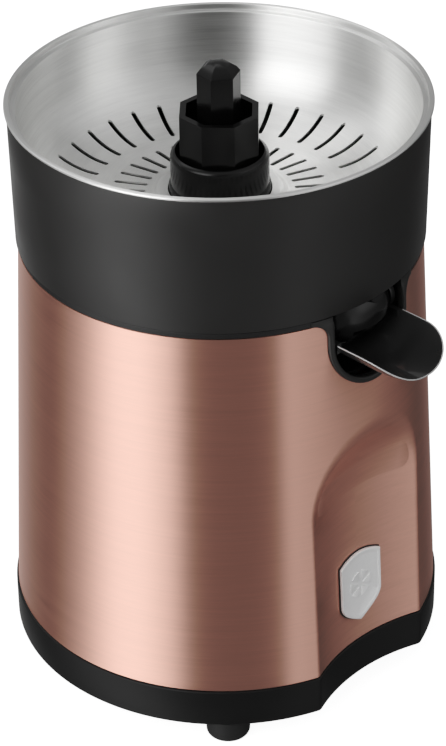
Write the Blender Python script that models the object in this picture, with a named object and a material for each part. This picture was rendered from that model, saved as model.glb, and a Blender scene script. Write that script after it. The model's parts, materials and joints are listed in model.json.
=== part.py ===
"""Citrus press juicer: a motor base with a lift-off juice collector, strainer bowl and tilting spout.

Units are metres and +Z is up. The feet stand on z = 0. The spout points along -Y.
Everything is placed under the empty "juicer_axis", which lies on the body's axis at the underside of
the base ring, so heights below are measured from there.
"""

import math

import bmesh
import bpy
from mathutils import Matrix, Vector

# ---------------------------------------------------------------- driving dimensions

FOOT_HEIGHT = 0.0110
FOOT_RADIUS = 0.0088
FOOT_CIRCLE = 0.0770

BASE_RADIUS = 0.08787
BASE_HEIGHT = 0.0165
SKIN_BOTTOM = 0.0168
SKIN_TOP = 0.1759
SKIN_BOTTOM_RADIUS = 0.08709
SKIN_TAPER = 0.0485
SKIN_THICKNESS = 0.0008

RECESS_HALF_WIDTH = 0.0300
RECESS_CURVE = 0.0805
RECESS_ARCH_START = 0.0880
RECESS_ARCH_RISE = 0.0335

SPOUT_REACH = 0.1074
SPOUT_HALF_WIDTH = 0.0180
SPOUT_RIM = 0.1658
SPOUT_FLOOR = 0.1570
SPOUT_WALL = 0.0016
SPOUT_TIP_LENGTH = 0.0182
SPOUT_TIP_POWER = 2.6
PIVOT_Y = -0.0686
PIVOT_Z = 0.1705
NOZZLE_HALF = (0.01725, 0.01244, 0.0125)
NOZZLE_END = 0.0154
NOZZLE_WALL = 0.0019
NOZZLE_CLEARANCE = 0.0007
NECK_HALF_WIDTH = 0.0115
NECK_FRONT = -0.0735
NECK_BACK = -0.0572
SPOUT_EARS = (0.0158, 0.0180)

OPENING_HALF_WIDTH = 0.0190
OPENING_CENTRE = 0.1655
BEZEL_WIDTH = 0.0024

DECK_TOP = 0.1784
DECK_BOTTOM = 0.1744
BAND_RADIUS = 0.0792
BAND_BOTTOM = 0.1762
POCKET_BACK = -0.0500

COLLAR_BOTTOM = 0.1788
COLLAR_BOTTOM_RADIUS = 0.0802
COLLAR_TOP = 0.2346
COLLAR_TOP_RADIUS = 0.0811
COLLAR_WALL = 0.0022
CHIMNEY_RADIUS = 0.0192
CHIMNEY_TOP = 0.2127

BOWL_RADIUS = 0.0820
BOWL_TOP = 0.2363
BOWL_INNER = 0.0785
BOWL_FLOOR = 0.1940
BOWL_CURVE = 0.0290
BOWL_SHEET = 0.0008
BOWL_HOLE = 0.0203
SLOT_COUNT = 36
SLOT_WIDTH = 0.0019
BOWL_PHASE = math.radians(4.0)
BOWL_STEPS = 4
SLOT_RINGS = (
    ("outer", 0.0502, 0.0671, 6.5),
    ("inner", 0.0291, 0.0425, 1.3),
)

SPINDLE_STAGE = 0.0163
SPINDLE_STAGE_TOP = 0.2300
SPINDLE_STAGE_BOTTOM = 0.2000
SPINDLE_PIN = 0.0085
SPINDLE_PIN_TOP = 0.2460
SPINDLE_APEX = 0.2500
SHAFT_RADIUS = 0.0050

OUTPUT_MODULE = 0.00125
OUTPUT_TEETH = 60
IDLER_PINION_TEETH = 12
INPUT_MODULE = 0.0010
IDLER_WHEEL_TEETH = 48
MOTOR_PINION_TEETH = 12
IDLER_Y = OUTPUT_MODULE * (OUTPUT_TEETH + IDLER_PINION_TEETH) / 2
INPUT_CENTRES = INPUT_MODULE * (IDLER_WHEEL_TEETH + MOTOR_PINION_TEETH) / 2
MOTOR_X = -0.0250
MOTOR_RADIUS = 0.0180
ARMATURE_RADIUS = 0.0116
MOTOR_Y = IDLER_Y - math.sqrt(INPUT_CENTRES ** 2 - MOTOR_X ** 2)

CASE_BOTTOM = 0.1480
CASE_TOP = 0.1709
CASE_WALL = 0.0026
CASE_EARS = ((0.044, -0.018), (-0.044, -0.018), (0.028, 0.063), (-0.028, 0.063))
POST_RADIUS = 0.0045
POST_CIRCLE = 0.0680
POST_ANGLES = (70.0, 115.0, 245.0, 290.0)

AXIS_Y = (SPOUT_REACH - BASE_RADIUS) / 2
GAP = 0.0003
BIG = 40
MEDIUM = 20
SMALL = 10
RECESS_COLUMNS = 8
BACK_COLUMNS = 42


# ---------------------------------------------------------------- building tools

def clear_scene():
    for obj in list(bpy.data.objects):
        bpy.data.objects.remove(obj, do_unlink=True)


def material(name, colour, roughness, metallic=0.0):
    found = bpy.data.materials.get(name)
    if found:
        return found
    made = bpy.data.materials.new(name)
    made.use_nodes = True
    shader = made.node_tree.nodes["Principled BSDF"]
    shader.inputs["Base Color"].default_value = (*colour, 1.0)
    shader.inputs["Roughness"].default_value = roughness
    shader.inputs["Metallic"].default_value = metallic
    made.diffuse_color = (*colour, 1.0)
    return made


def empty(name, location, parent=None):
    made = bpy.data.objects.new(name, None)
    made.location = location
    made.parent = parent
    bpy.context.scene.collection.objects.link(made)
    return made


def make_object(name, bm, finish, parent, location=(0, 0, 0)):
    """Turn a bmesh into a named object with outward faces and one material."""
    bmesh.ops.remove_doubles(bm, verts=bm.verts, dist=1e-7)
    bmesh.ops.recalc_face_normals(bm, faces=bm.faces)
    mesh = bpy.data.meshes.new(name)
    bm.to_mesh(mesh)
    bm.free()
    mesh.shade_smooth()
    mesh.set_sharp_from_angle(angle=math.radians(35))
    if finish:
        mesh.materials.append(finish)
    made = bpy.data.objects.new(name, mesh)
    made.location = location
    made.parent = parent
    bpy.context.scene.collection.objects.link(made)
    return made


def boolean(target, tool_bm, operation):
    """Add or take away a hidden tool shape, given in the target's own coordinates."""
    index = len(target.modifiers)
    tool = make_object(f"tool_{target.name}_{index}", tool_bm, None, target)
    tool.hide_render = True
    tool.display_type = "WIRE"
    step = target.modifiers.new(f"{operation.lower()}_{index}", "BOOLEAN")
    step.operation = operation
    step.solver = "EXACT"
    step.object = tool


def cut(target, tool_bm):
    boolean(target, tool_bm, "DIFFERENCE")


def join(target, tool_bm):
    boolean(target, tool_bm, "UNION")


def bridge(bm, first, second):
    """Faces between two rings of vertices; a ring of one vertex is a point on the axis."""
    count = max(len(first), len(second))
    for k in range(count):
        corners = [
            first[k % len(first)],
            first[(k + 1) % len(first)],
            second[(k + 1) % len(second)],
            second[k % len(second)],
        ]
        unique = list(dict.fromkeys(corners))
        if len(unique) > 2:
            bm.faces.new(unique)


def loft(rings, closed=False):
    """A solid through rings of points: capped at both ends, or closed back onto its first ring."""
    bm = bmesh.new()
    levels = [[bm.verts.new(point) for point in ring] for ring in rings]
    for lower, upper in zip(levels, levels[1:]):
        bridge(bm, lower, upper)
    if closed:
        bridge(bm, levels[-1], levels[0])
    else:
        for end in (levels[0], levels[-1]):
            if len(end) > 2:
                bm.faces.new(end)
    return bm


def circle(radius, height, segments, centre=(0.0, 0.0), phase=0.0):
    """A ring of points; angles run from -Y towards +X."""
    points = []
    for k in range(segments):
        angle = phase + 2 * math.pi * k / segments
        x = centre[0] + radius * math.sin(angle)
        y = centre[1] - radius * math.cos(angle)
        points.append((x, y, height))
    return points


def turned(profile, segments, centre=(0.0, 0.0), phase=0.0):
    """A turned solid. A profile that starts and ends on the axis is solid, any other is a closed loop."""
    rings = []
    for radius, height in profile:
        if radius == 0.0:
            rings.append([(centre[0], centre[1], height)])
        else:
            rings.append(circle(radius, height, segments, centre, phase))
    solid = profile[0][0] == 0.0
    return loft(rings, closed=not solid)


def rod(radius, low, high, segments=SMALL, centre=(0.0, 0.0)):
    return loft([circle(radius, low, segments, centre), circle(radius, high, segments, centre)])


def tube(inner, outer, low, high, segments=MEDIUM, centre=(0.0, 0.0)):
    profile = [(inner, low), (outer, low), (outer, high), (inner, high)]
    return turned(profile, segments, centre)


def merge(*parts):
    """One bmesh holding several separate shapes, for use as a cutter."""
    joined = bmesh.new()
    for part in parts:
        mesh = bpy.data.meshes.new("merge")
        part.to_mesh(mesh)
        part.free()
        joined.from_mesh(mesh)
        bpy.data.meshes.remove(mesh)
    return joined


def box(low, high):
    corners = [(low[0], low[1]), (high[0], low[1]), (high[0], high[1]), (low[0], high[1])]
    return loft([[(x, y, low[2]) for x, y in corners], [(x, y, high[2]) for x, y in corners]])


def slab(outline, low, high):
    """A flat outline in X and Y, extruded upwards."""
    return loft([[(x, y, low) for x, y in outline], [(x, y, high) for x, y in outline]])


def side_slab(outline, front, back):
    """An outline in X and Z, extruded along Y."""
    return loft([[(x, front, z) for x, z in outline], [(x, back, z) for x, z in outline]])


def hull(circles, steps=36):
    """The outline of a band stretched round several circles (x, y, radius)."""
    reach = []
    for k in range(steps):
        angle = 2 * math.pi * k / steps
        direction = Vector((math.cos(angle), math.sin(angle)))
        furthest = max(circles, key=lambda c: direction.x * c[0] + direction.y * c[1] + c[2])
        reach.append((furthest[0] + furthest[2] * direction.x, furthest[1] + furthest[2] * direction.y))
    return reach


# ---------------------------------------------------------------- the body's outline

def skin_radius(height):
    return SKIN_BOTTOM_RADIUS - SKIN_TAPER * (height - SKIN_BOTTOM)


def recess_half_width(height):
    """Half the width of the hollow for a glass: straight below, an elliptic arch at the top."""
    rise = (height - RECESS_ARCH_START) / RECESS_ARCH_RISE
    if rise <= 0:
        return RECESS_HALF_WIDTH
    return RECESS_HALF_WIDTH * math.sqrt(max(0.0, 1.0 - rise * rise))


def body_ring(height, radius, inset=0.0):
    """A ring round the body, with the glass recess across its front."""
    half = recess_half_width(height)
    edge = math.asin(max(half, 0.006) / radius)
    centre = math.sqrt(radius ** 2 - half ** 2) + math.sqrt(RECESS_CURVE ** 2 - half ** 2)
    points = []
    for k in range(RECESS_COLUMNS):
        angle = edge * (2 * k / RECESS_COLUMNS - 1)
        reach = radius
        if half > 0 and math.sin(edge) * radius <= half + 1e-6:
            reach = centre * math.cos(angle)
            reach -= math.sqrt(RECESS_CURVE ** 2 - (centre * math.sin(angle)) ** 2)
        points.append((angle, min(reach, radius)))
    for k in range(BACK_COLUMNS):
        angle = edge + (2 * math.pi - 2 * edge) * k / BACK_COLUMNS
        points.append((angle, radius))
    return [
        ((reach - inset) * math.sin(angle), -(reach - inset) * math.cos(angle), height)
        for angle, reach in points
    ]


def opening_outline(half_width, top, steps=12):
    """A U in X and Z, open at the top, with a half-round bottom."""
    points = [(half_width, top)]
    for k in range(steps + 1):
        angle = -math.pi * k / steps
        points.append((half_width * math.cos(angle), OPENING_CENTRE + half_width * math.sin(angle)))
    points.append((-half_width, top))
    return points


# ---------------------------------------------------------------- housing

def build_skin(axis):
    heights = [SKIN_BOTTOM, RECESS_ARCH_START, 0.1035, 0.1140, 0.1195, 0.1214, SKIN_TOP]
    outer = [body_ring(h, skin_radius(h)) for h in heights]
    inner = [body_ring(h, skin_radius(h), SKIN_THICKNESS) for h in reversed(heights)]
    skin = make_object("housing_skin", loft(outer + inner, closed=True), ROSE_METAL, axis)
    cut(skin, side_slab(opening_outline(OPENING_HALF_WIDTH + 0.0012, 0.2), -0.1, -0.05))


def build_base_ring(axis):
    levels = ((0.0, 0.0007), (0.0007, 0.0), (BASE_HEIGHT - 0.0006, 0.0), (BASE_HEIGHT, 0.0006))
    outer = [body_ring(h, BASE_RADIUS, chamfer) for h, chamfer in levels]
    inner = [body_ring(h, BASE_RADIUS, 0.0030) for h in (BASE_HEIGHT, 0.0)]
    ring = make_object("base_ring", loft(outer + inner, closed=True), BLACK_PLASTIC, axis)
    cable_hole = rod(0.0044, 0.070, 0.095)
    cable_hole.transform(Matrix.Translation((0, 0, 0.0082)) @ Matrix.Rotation(math.radians(-90), 4, "X"))
    cut(ring, cable_hole)


def polar(radius, degrees):
    angle = math.radians(degrees)
    return (radius * math.sin(angle), -radius * math.cos(angle))


def build_bottom_cover(axis):
    rings = [body_ring(h, BASE_RADIUS, 0.0034) for h in (0.0, 0.0025)]
    cover = make_object("bottom_cover", loft(rings), BLACK_PLASTIC, axis)
    holes = [rod(0.0028, -0.01, 0.01, SMALL, polar(FOOT_CIRCLE, a)) for a in FOOT_ANGLES]
    holes += [rod(0.0019, -0.01, 0.01, 12, polar(POST_CIRCLE, a)) for a in POST_ANGLES]
    for k in range(-3, 4):
        x = 0.009 * k
        holes.append(box((x - 0.0018, -0.022, -0.01), (x + 0.0018, 0.022, 0.01)))
    cut(cover, merge(*holes))


def build_feet(axis):
    profile = [
        (0.0, -FOOT_HEIGHT),
        (FOOT_RADIUS - 0.0022, -FOOT_HEIGHT),
        (FOOT_RADIUS - 0.0006, -FOOT_HEIGHT + 0.0006),
        (FOOT_RADIUS, -FOOT_HEIGHT + 0.0022),
        (FOOT_RADIUS, -GAP),
        (0.0025, -GAP),
        (0.0025, 0.0020),
        (0.0, 0.0020),
    ]
    for name, angle in zip(("front_right", "rear_right", "rear_left", "front_left"), FOOT_ANGLES):
        x, y = polar(FOOT_CIRCLE, angle)
        make_object(f"foot_{name}", turned(profile, 16), RUBBER, axis, (x, y, 0))


def build_cover_screws(axis):
    profile = [
        (0.0, -0.0022),
        (0.0024, -0.0022),
        (0.0032, -0.0016),
        (0.0032, -GAP),
        (0.0015, -GAP),
        (0.0015, 0.0150),
        (0.0, 0.0160),
    ]
    for number, angle in enumerate(POST_ANGLES, 1):
        x, y = polar(POST_CIRCLE, angle)
        screw = make_object(f"cover_screw_{number}", turned(profile, 8), STEEL, axis, (x, y, 0))
        cut(screw, box((-0.0020, -0.0004, -0.0030), (0.0020, 0.0004, -0.0015)))


def build_upper_chassis(axis):
    skirt = BAND_RADIUS - 0.0013
    profile = [
        (0.0073, DECK_BOTTOM),
        (skirt - 0.0025, DECK_BOTTOM),
        (skirt - 0.0025, 0.1680),
        (skirt, 0.1680),
        (skirt, BAND_BOTTOM),
        (BAND_RADIUS, BAND_BOTTOM),
        (BAND_RADIUS, DECK_TOP),
        (0.0110, DECK_TOP),
        (0.0110, 0.1900),
        (0.0073, 0.1900),
    ]
    chassis = make_object("upper_chassis", turned(profile, BIG), BLACK_PLASTIC, axis)
    join(chassis, side_slab(opening_outline(OPENING_HALF_WIDTH + 0.0020, 0.1770), -0.0748, POCKET_BACK))
    for angle in POST_ANGLES:
        join(chassis, rod(POST_RADIUS, 0.0028, 0.1760, SMALL, polar(POST_CIRCLE, angle)))
    cut(chassis, side_slab(opening_outline(OPENING_HALF_WIDTH + GAP, 0.2), -0.1, POCKET_BACK - 0.0018))
    holes = [rod(0.0018, 0.0, 0.0180, 12, polar(POST_CIRCLE, a)) for a in POST_ANGLES]
    holes += [rod(0.0018, 0.1700, 0.1776, 12, ear) for ear in CASE_EARS]
    cut(chassis, merge(*holes))


def build_bezel(axis):
    """The raised trim round the spout opening: a strip of the body's cone cut to a U."""
    low = OPENING_CENTRE - OPENING_HALF_WIDTH - 0.0060
    band = turned([
        (skin_radius(low) + GAP, low),
        (skin_radius(low) + 0.0014, low),
        (skin_radius(DECK_TOP) + 0.0014, DECK_TOP),
        (skin_radius(DECK_TOP) + GAP, DECK_TOP),
    ], 128)
    bezel = make_object("spout_bezel", band, BLACK_PLASTIC, axis)
    outer = opening_outline(OPENING_HALF_WIDTH + BEZEL_WIDTH, 0.1730, 18)
    flare = 0.0065
    shoulder = OPENING_HALF_WIDTH + BEZEL_WIDTH
    for side in (1, -1):
        arc = []
        for k in range(5):
            turn = math.radians(90 * k / 4)
            x = side * (shoulder + flare * (1 - math.cos(turn)))
            arc.append((x, BAND_BOTTOM - flare + flare * math.sin(turn)))
        arc.append((side * (shoulder + flare), 0.19))
        if side == 1:
            outer[0:1] = list(reversed(arc))
        else:
            outer[-1:] = arc
    boolean(bezel, side_slab(outer, -0.1, -0.05), "INTERSECT")
    cut(bezel, side_slab(opening_outline(OPENING_HALF_WIDTH, 0.2, 18), -0.11, -0.04))


def shield_outline(half_width, low, high):
    """A shield: a shallow arch on top, straight sides, and curves that meet in a point below."""
    shoulder = high - 0.0030
    waist = low + 0.0115
    points = []
    for k in range(9):
        x = half_width * (1 - 2 * k / 8)
        points.append((x, shoulder + 0.0030 * (1 - (x / half_width) ** 2)))
    for k in range(11):
        share = 1 - abs(k - 5) / 5
        side = -1 if k < 5 else 1
        points.append((side * half_width * (1 - share ** 2), waist - (waist - low) * share))
    return points


def recess_shell(low, high, lift, thickness):
    """A curved wall that follows the recess, standing off its surface by lift."""
    rings = []
    for height, offset in ((low, lift), (high, lift), (high, lift + thickness), (low, lift + thickness)):
        row = body_ring(height, skin_radius(height), -offset)[:RECESS_COLUMNS + 1]
        rings.append(row)
    bm = bmesh.new()
    levels = [[bm.verts.new(point) for point in ring] for ring in rings]
    for lower, upper in zip(levels, levels[1:] + levels[:1]):
        for k in range(RECESS_COLUMNS):
            bm.faces.new((lower[k], lower[k + 1], upper[k + 1], upper[k]))
    for k in (0, RECESS_COLUMNS):
        bm.faces.new([level[k] for level in levels])
    bmesh.ops.recalc_face_normals(bm, faces=bm.faces)
    return bm


def build_badge(axis):
    low, high = 0.0260, 0.0595
    backing = recess_shell(low - 0.004, high + 0.004, GAP, 0.0008)
    frame = make_object("badge_frame", backing, BLACK_PLASTIC, axis)
    boolean(frame, side_slab(shield_outline(0.0122, low, high), -0.1, -0.05), "INTERSECT")
    plate = make_object("badge_plate", recess_shell(low - 0.004, high + 0.004, 0.0014, 0.0010), SILVER, axis)
    boolean(plate, side_slab(shield_outline(0.0115, low + 0.0007, high - 0.0007), -0.1, -0.05), "INTERSECT")


def build_cord_inlet(axis):
    profile = [
        (0.0030, 0.0),
        (0.0053, 0.0),
        (0.0053, 0.0016),
        (0.0041, 0.0016),
        (0.0041, 0.0050),
        (0.0030, 0.0050),
    ]
    place = (0, BASE_RADIUS - 0.0052, 0.0082)
    inlet = make_object("cord_inlet_bush", turned(profile, SMALL), RUBBER, axis, place)
    inlet.rotation_euler = (math.radians(-90), 0, 0)


def build_terminal_block(axis):
    low, high = Vector((-0.012, 0.050, 0.0028)), Vector((0.012, 0.062, 0.0130))
    block = make_object("terminal_block", box(low, high), WHITE_PLASTIC, axis)
    wells = [rod(0.0022, 0.0080, 0.0200, 12, (x, 0.056)) for x in (-0.006, 0.006)]
    cut(block, merge(*wells))


# ---------------------------------------------------------------- gear case and drive

def case_outline(margin):
    reach = OUTPUT_MODULE * OUTPUT_TEETH / 2 + OUTPUT_MODULE + 0.0030 + margin
    wheel = INPUT_MODULE * IDLER_WHEEL_TEETH / 2 + INPUT_MODULE + 0.0020 + margin
    circles = [(0, 0, reach), (0, IDLER_Y, wheel)]
    if margin:
        circles += [(x, y, 0.0050) for x, y in CASE_EARS]
    return hull(circles)


def build_gear_case(axis):
    case = make_object("gear_case", slab(case_outline(CASE_WALL), CASE_BOTTOM, CASE_TOP), GREY_PLASTIC, axis)
    join(case, rod(0.0100, 0.1340, CASE_BOTTOM + 0.0010, MEDIUM))
    join(case, box((-0.0130, -0.0045, 0.1345), (0.0130, 0.0045, 0.1385)))
    for side in (-1, 1):
        ends = sorted((side * 0.0106, side * 0.0128))
        join(case, box((ends[0], -0.0044, 0.1130), (ends[1], 0.0044, 0.1350)))
    cut(case, slab(case_outline(0.0), CASE_BOTTOM + 0.0025, 0.2))
    cut(case, rod(0.0078, 0.1360, 0.1479, MEDIUM))
    holes = [rod(0.0073, 0.1475, 0.1600, MEDIUM), rod(0.0025, 0.1300, 0.1365)]
    holes.append(rod(0.0065, 0.1400, 0.1600, 24, (MOTOR_X, MOTOR_Y)))
    holes.append(rod(0.0022, 0.1400, 0.1600, 12, (0, IDLER_Y)))
    holes += [rod(0.0019, 0.1400, 0.2, 12, ear) for ear in CASE_EARS]
    holes += [rod(0.0016, 0.1400, 0.1600, 12, spot) for spot in motor_screw_spots()]
    cut(case, merge(*holes))


def motor_screw_spots():
    return ((MOTOR_X + 0.005, MOTOR_Y + 0.009), (MOTOR_X + 0.002, MOTOR_Y - 0.010))


def build_case_cover(axis):
    plate = slab(case_outline(CASE_WALL), CASE_TOP + GAP, 0.1741)
    cover = make_object("gear_case_cover", plate, GREY_PLASTIC, axis)
    holes = [rod(0.0080, 0.16, 0.18, MEDIUM), rod(0.0022, 0.16, 0.18, 12, (0, IDLER_Y))]
    holes += [rod(0.0019, 0.16, 0.18, 12, ear) for ear in CASE_EARS]
    cut(cover, merge(*holes))


def build_case_screws(axis):
    profile = [
        (0.0, 0.1452),
        (0.0022, 0.1452),
        (0.0030, 0.1460),
        (0.0030, CASE_BOTTOM - GAP),
        (0.0015, CASE_BOTTOM - GAP),
        (0.0015, 0.1765),
        (0.0, 0.1772),
    ]
    for number, (x, y) in enumerate(CASE_EARS, 1):
        make_object(f"case_screw_{number}", turned(profile, 8), STEEL, axis, (x, y, 0))


def build_shaft_bushes(axis):
    upper = [(0.00515, 0.1750), (0.0070, 0.1750), (0.0070, 0.1903), (0.0088, 0.1903), (0.0088, 0.1918),
             (0.00515, 0.1918)]
    make_object("upper_shaft_bush", turned(upper, 16), BRONZE, axis)
    make_object("lower_shaft_bush", tube(0.00515, 0.0070, 0.1482, 0.1535, 16), BRONZE, axis)
    seal = [(0.0053, 0.1922), (0.0100, 0.1922), (0.0100, 0.1950), (0.0070, 0.1962), (0.0053, 0.1962)]
    make_object("shaft_seal", turned(seal, 16), RUBBER, axis)


def gear_bm(teeth, module, low, high, bore, phase):
    """A spur gear with straight-sided teeth and running clearance; phase is where a tooth stands."""
    pitch = teeth * module / 2
    root = pitch - 1.2 * module
    tip = pitch + 0.8 * module
    outline = []
    for k in range(teeth):
        middle = phase + 2 * math.pi * k / teeth
        for radius, half in ((root, -0.78), (tip, -0.30), (tip, 0.30), (root, 0.78)):
            angle = middle + half * module / radius
            outline.append((radius * math.cos(angle), radius * math.sin(angle)))
    gear = slab(outline, low, high)
    return gear, rod(bore, low - 0.002, high + 0.002, 16)


def build_drive(axis):
    drive = empty("drive_axis", (0, 0, 0), axis)
    shaft = [(0.0, 0.1462), (0.0042, 0.1462), (SHAFT_RADIUS, 0.1470), (SHAFT_RADIUS, 0.2130), (0.0, 0.2130)]
    shaft_object = make_object("drive_shaft", turned(shaft, 16), STEEL, drive)
    cross_hole = rod(0.0013, -0.02, 0.02, 12)
    cross_hole.transform(Matrix.Translation((0, 0, 0.2060)) @ Matrix.Rotation(math.radians(90), 4, "Y"))
    cut(shaft_object, cross_hole)
    wheel, bore = gear_bm(OUTPUT_TEETH, OUTPUT_MODULE, 0.1610, 0.1690, SHAFT_RADIUS + 0.0002, math.pi / 2)
    gear = make_object("output_gear", wheel, GEAR_PLASTIC, drive)
    cut(gear, bore)
    make_object("retaining_ring", tube(SHAFT_RADIUS + 0.0002, 0.0078, 0.1596, 0.1606, 16), STEEL, drive)
    build_spindle(drive)


def build_spindle(drive):
    """The moulded spindle: an eight-sided cup with a six-sided pin standing in it."""
    eight = math.radians(20.6)
    six = math.radians(-5.4)
    heights = (SPINDLE_STAGE_BOTTOM, SPINDLE_STAGE_TOP)
    stage = loft([circle(SPINDLE_STAGE, z, 8, phase=eight) for z in heights])
    spindle = make_object("drive_spindle", stage, GLOSS_BLACK, drive)
    cup = loft([circle(SPINDLE_STAGE - 0.0026, z, 8, phase=eight) for z in (0.2200, 0.2400)])
    cut(spindle, cup)
    sections = ((SPINDLE_PIN, 0.2150), (SPINDLE_PIN, SPINDLE_PIN_TOP), (0.0070, 0.2479), (0.0045, 0.2493),
                (0.0015, SPINDLE_APEX))
    join(spindle, loft([circle(radius, z, 6, phase=six) for radius, z in sections]))
    cut(spindle, rod(SHAFT_RADIUS + 0.0002, 0.1900, 0.2134, 16))
    pin_hole = rod(0.0013, -0.03, 0.03, 12)
    pin_hole.transform(Matrix.Translation((0, 0, 0.2060)) @ Matrix.Rotation(math.radians(90), 4, "Y"))
    cut(spindle, pin_hole)
    pin = make_object("spindle_cross_pin", rod(0.0011, -0.0140, 0.0140, 12), STEEL, drive, (0, 0, 0.2060))
    pin.rotation_euler = (0, math.radians(90), 0)


def build_idler(axis):
    place = empty("idler_axis", (0, IDLER_Y, 0), axis)
    towards_motor = math.atan2(MOTOR_Y - IDLER_Y, MOTOR_X)
    wheel, _ = gear_bm(IDLER_WHEEL_TEETH, INPUT_MODULE, 0.1530, 0.1580, 0.0022, towards_motor)
    idler = make_object("idler_gear", wheel, GEAR_PLASTIC, place)
    gap_to_output = -math.pi / 2 + math.pi / IDLER_PINION_TEETH
    pinion, bore = gear_bm(IDLER_PINION_TEETH, OUTPUT_MODULE, 0.1570, 0.1700, 0.0022, gap_to_output)
    join(idler, pinion)
    cut(idler, rod(0.00215, 0.1500, 0.1720, SMALL))
    make_object("idler_axle", rod(0.0020, 0.1490, 0.1736, SMALL), STEEL, axis, (0, IDLER_Y, 0))


# ---------------------------------------------------------------- motor

def build_motor_housing(axis):
    place = empty("motor_place", (MOTOR_X, MOTOR_Y, 0), axis)
    can = [(0.0042, 0.0900), (0.0172, 0.0900), (MOTOR_RADIUS, 0.0908), (MOTOR_RADIUS, 0.1440),
           (MOTOR_RADIUS - 0.0014, 0.1440), (MOTOR_RADIUS - 0.0014, 0.0914), (0.0042, 0.0914)]
    make_object("motor_can", turned(can, MEDIUM), STEEL, place)
    cap = [(0.0042, 0.1420), (0.0065, 0.1420), (0.0065, 0.1443), (MOTOR_RADIUS, 0.1443),
           (MOTOR_RADIUS, 0.1477), (0.0042, 0.1477)]
    cap_object = make_object("motor_end_cap", turned(cap, MEDIUM), GREY_PLASTIC, place)
    spots = [(x - MOTOR_X, y - MOTOR_Y) for x, y in motor_screw_spots()]
    cut(cap_object, merge(*[rod(0.0016, 0.13, 0.16, 8, spot) for spot in spots]))
    make_object("motor_bush_upper", tube(0.00178, 0.0040, 0.1420, 0.1470, SMALL), BRONZE, place)
    make_object("motor_bush_lower", tube(0.00178, 0.0040, 0.0890, 0.0930, SMALL), BRONZE, place)
    for name, sign in (("left", -1), ("right", 1)):
        corners = [(radius * math.cos(a), radius * math.sin(a)) for radius, a in magnet_corners(sign)]
        make_object(f"motor_magnet_{name}", slab(corners, 0.0990, 0.1300), MAGNET, place)
        ends = sorted((sign * 0.0058, sign * 0.0110))
        brush = box((ends[0], -0.0020, 0.1345), (ends[1], 0.0020, 0.1385))
        make_object(f"motor_brush_{name}", brush, CARBON, place)
    profile = [(0.0, 0.1524), (0.0022, 0.1524), (0.0026, 0.1519), (0.0026, 0.1508), (0.0013, 0.1508),
               (0.0013, 0.1450), (0.0, 0.1450)]
    for number, (x, y) in enumerate(spots, 1):
        make_object(f"motor_screw_{number}", turned(profile, 8), STEEL, place, (x, y, 0))


def magnet_corners(sign):
    """An arc of magnet inside the can, as radius and angle pairs."""
    middle = 0.0 if sign > 0 else math.pi
    steps = [middle + math.radians(-62 + 124 * k / 6) for k in range(7)]
    outer = MOTOR_RADIUS - 0.0022
    return [(outer, a) for a in steps] + [(outer - 0.0034, a) for a in reversed(steps)]


def build_rotor(axis):
    place = empty("motor_axis", (MOTOR_X, MOTOR_Y, 0), axis)
    make_object("motor_shaft", rod(0.0016, 0.0895, 0.1580, SMALL), STEEL, place)
    outline = []
    for k in range(5):
        middle = 2 * math.pi * k / 5
        for radius, half in ((0.0060, -14.0), (0.0100, -9.0), (ARMATURE_RADIUS, -30.0),
                             (ARMATURE_RADIUS, 0.0), (ARMATURE_RADIUS, 30.0), (0.0100, 9.0), (0.0060, 14.0)):
            angle = middle + math.radians(half)
            outline.append((radius * math.cos(angle), radius * math.sin(angle)))
    core = make_object("armature_core", slab(outline, 0.1010, 0.1270), STEEL, place)
    cut(core, rod(0.0018, 0.09, 0.13, SMALL))
    make_object("winding_upper", tube(0.0030, 0.0095, 0.1273, 0.1318, SMALL), COPPER, place)
    make_object("winding_lower", tube(0.0030, 0.0095, 0.0960, 0.1007, SMALL), COPPER, place)
    make_object("commutator", tube(0.0018, 0.0055, 0.1321, 0.1405, SMALL), COPPER, place)
    gap_to_idler = math.atan2(IDLER_Y - MOTOR_Y, -MOTOR_X) + math.pi / MOTOR_PINION_TEETH
    wheel, _ = gear_bm(MOTOR_PINION_TEETH, INPUT_MODULE, 0.1529, 0.1578, 0.0018, gap_to_idler)
    pinion = make_object("motor_pinion", wheel, BRONZE, place)
    cut(pinion, rod(0.0018, 0.15, 0.16, SMALL))


# ---------------------------------------------------------------- press mechanism

def build_press(axis):
    cup = [(0.0, 0.1267), (0.0018, 0.1267), (0.0018, 0.1416), (0.0074, 0.1416), (0.0074, 0.1459),
           (0.0, 0.1459)]
    make_object("thrust_cup", turned(cup, 16), GEAR_PLASTIC, axis)
    build_spring(axis)
    block = box((-0.0100, -0.0032, 0.1140), (0.0100, 0.0032, 0.1240))
    body = make_object("switch_body", block, BLACK_PLASTIC, axis)
    cut(body, box((-0.0020, -0.0015, 0.1175), (0.0020, 0.0015, 0.1300)))
    plunger = box((-0.0017, -0.0012, 0.1206), (0.0017, 0.0012, 0.1263))
    make_object("switch_plunger", plunger, RED_PLASTIC, axis)


def build_spring(axis):
    """The return spring: a round wire swept along a helix between the well's floor and the thrust cup."""
    wire, radius, turns, steps, sides = 0.0005, 0.0055, 3.5, 12, 5
    low, high = 0.1368, 0.1409
    count = int(turns * steps)
    rings = []
    for k in range(count + 1):
        turn = 2 * math.pi * k / steps
        middle = Vector((radius * math.cos(turn), radius * math.sin(turn), low + (high - low) * k / count))
        outward = Vector((math.cos(turn), math.sin(turn), 0))
        ring = []
        for s in range(sides):
            angle = 2 * math.pi * s / sides
            ring.append(middle + wire * (math.cos(angle) * outward + math.sin(angle) * Vector((0, 0, 1))))
        rings.append(ring)
    make_object("return_spring", loft(rings), STEEL, axis)


# ---------------------------------------------------------------- collector, spout and bowl

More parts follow.
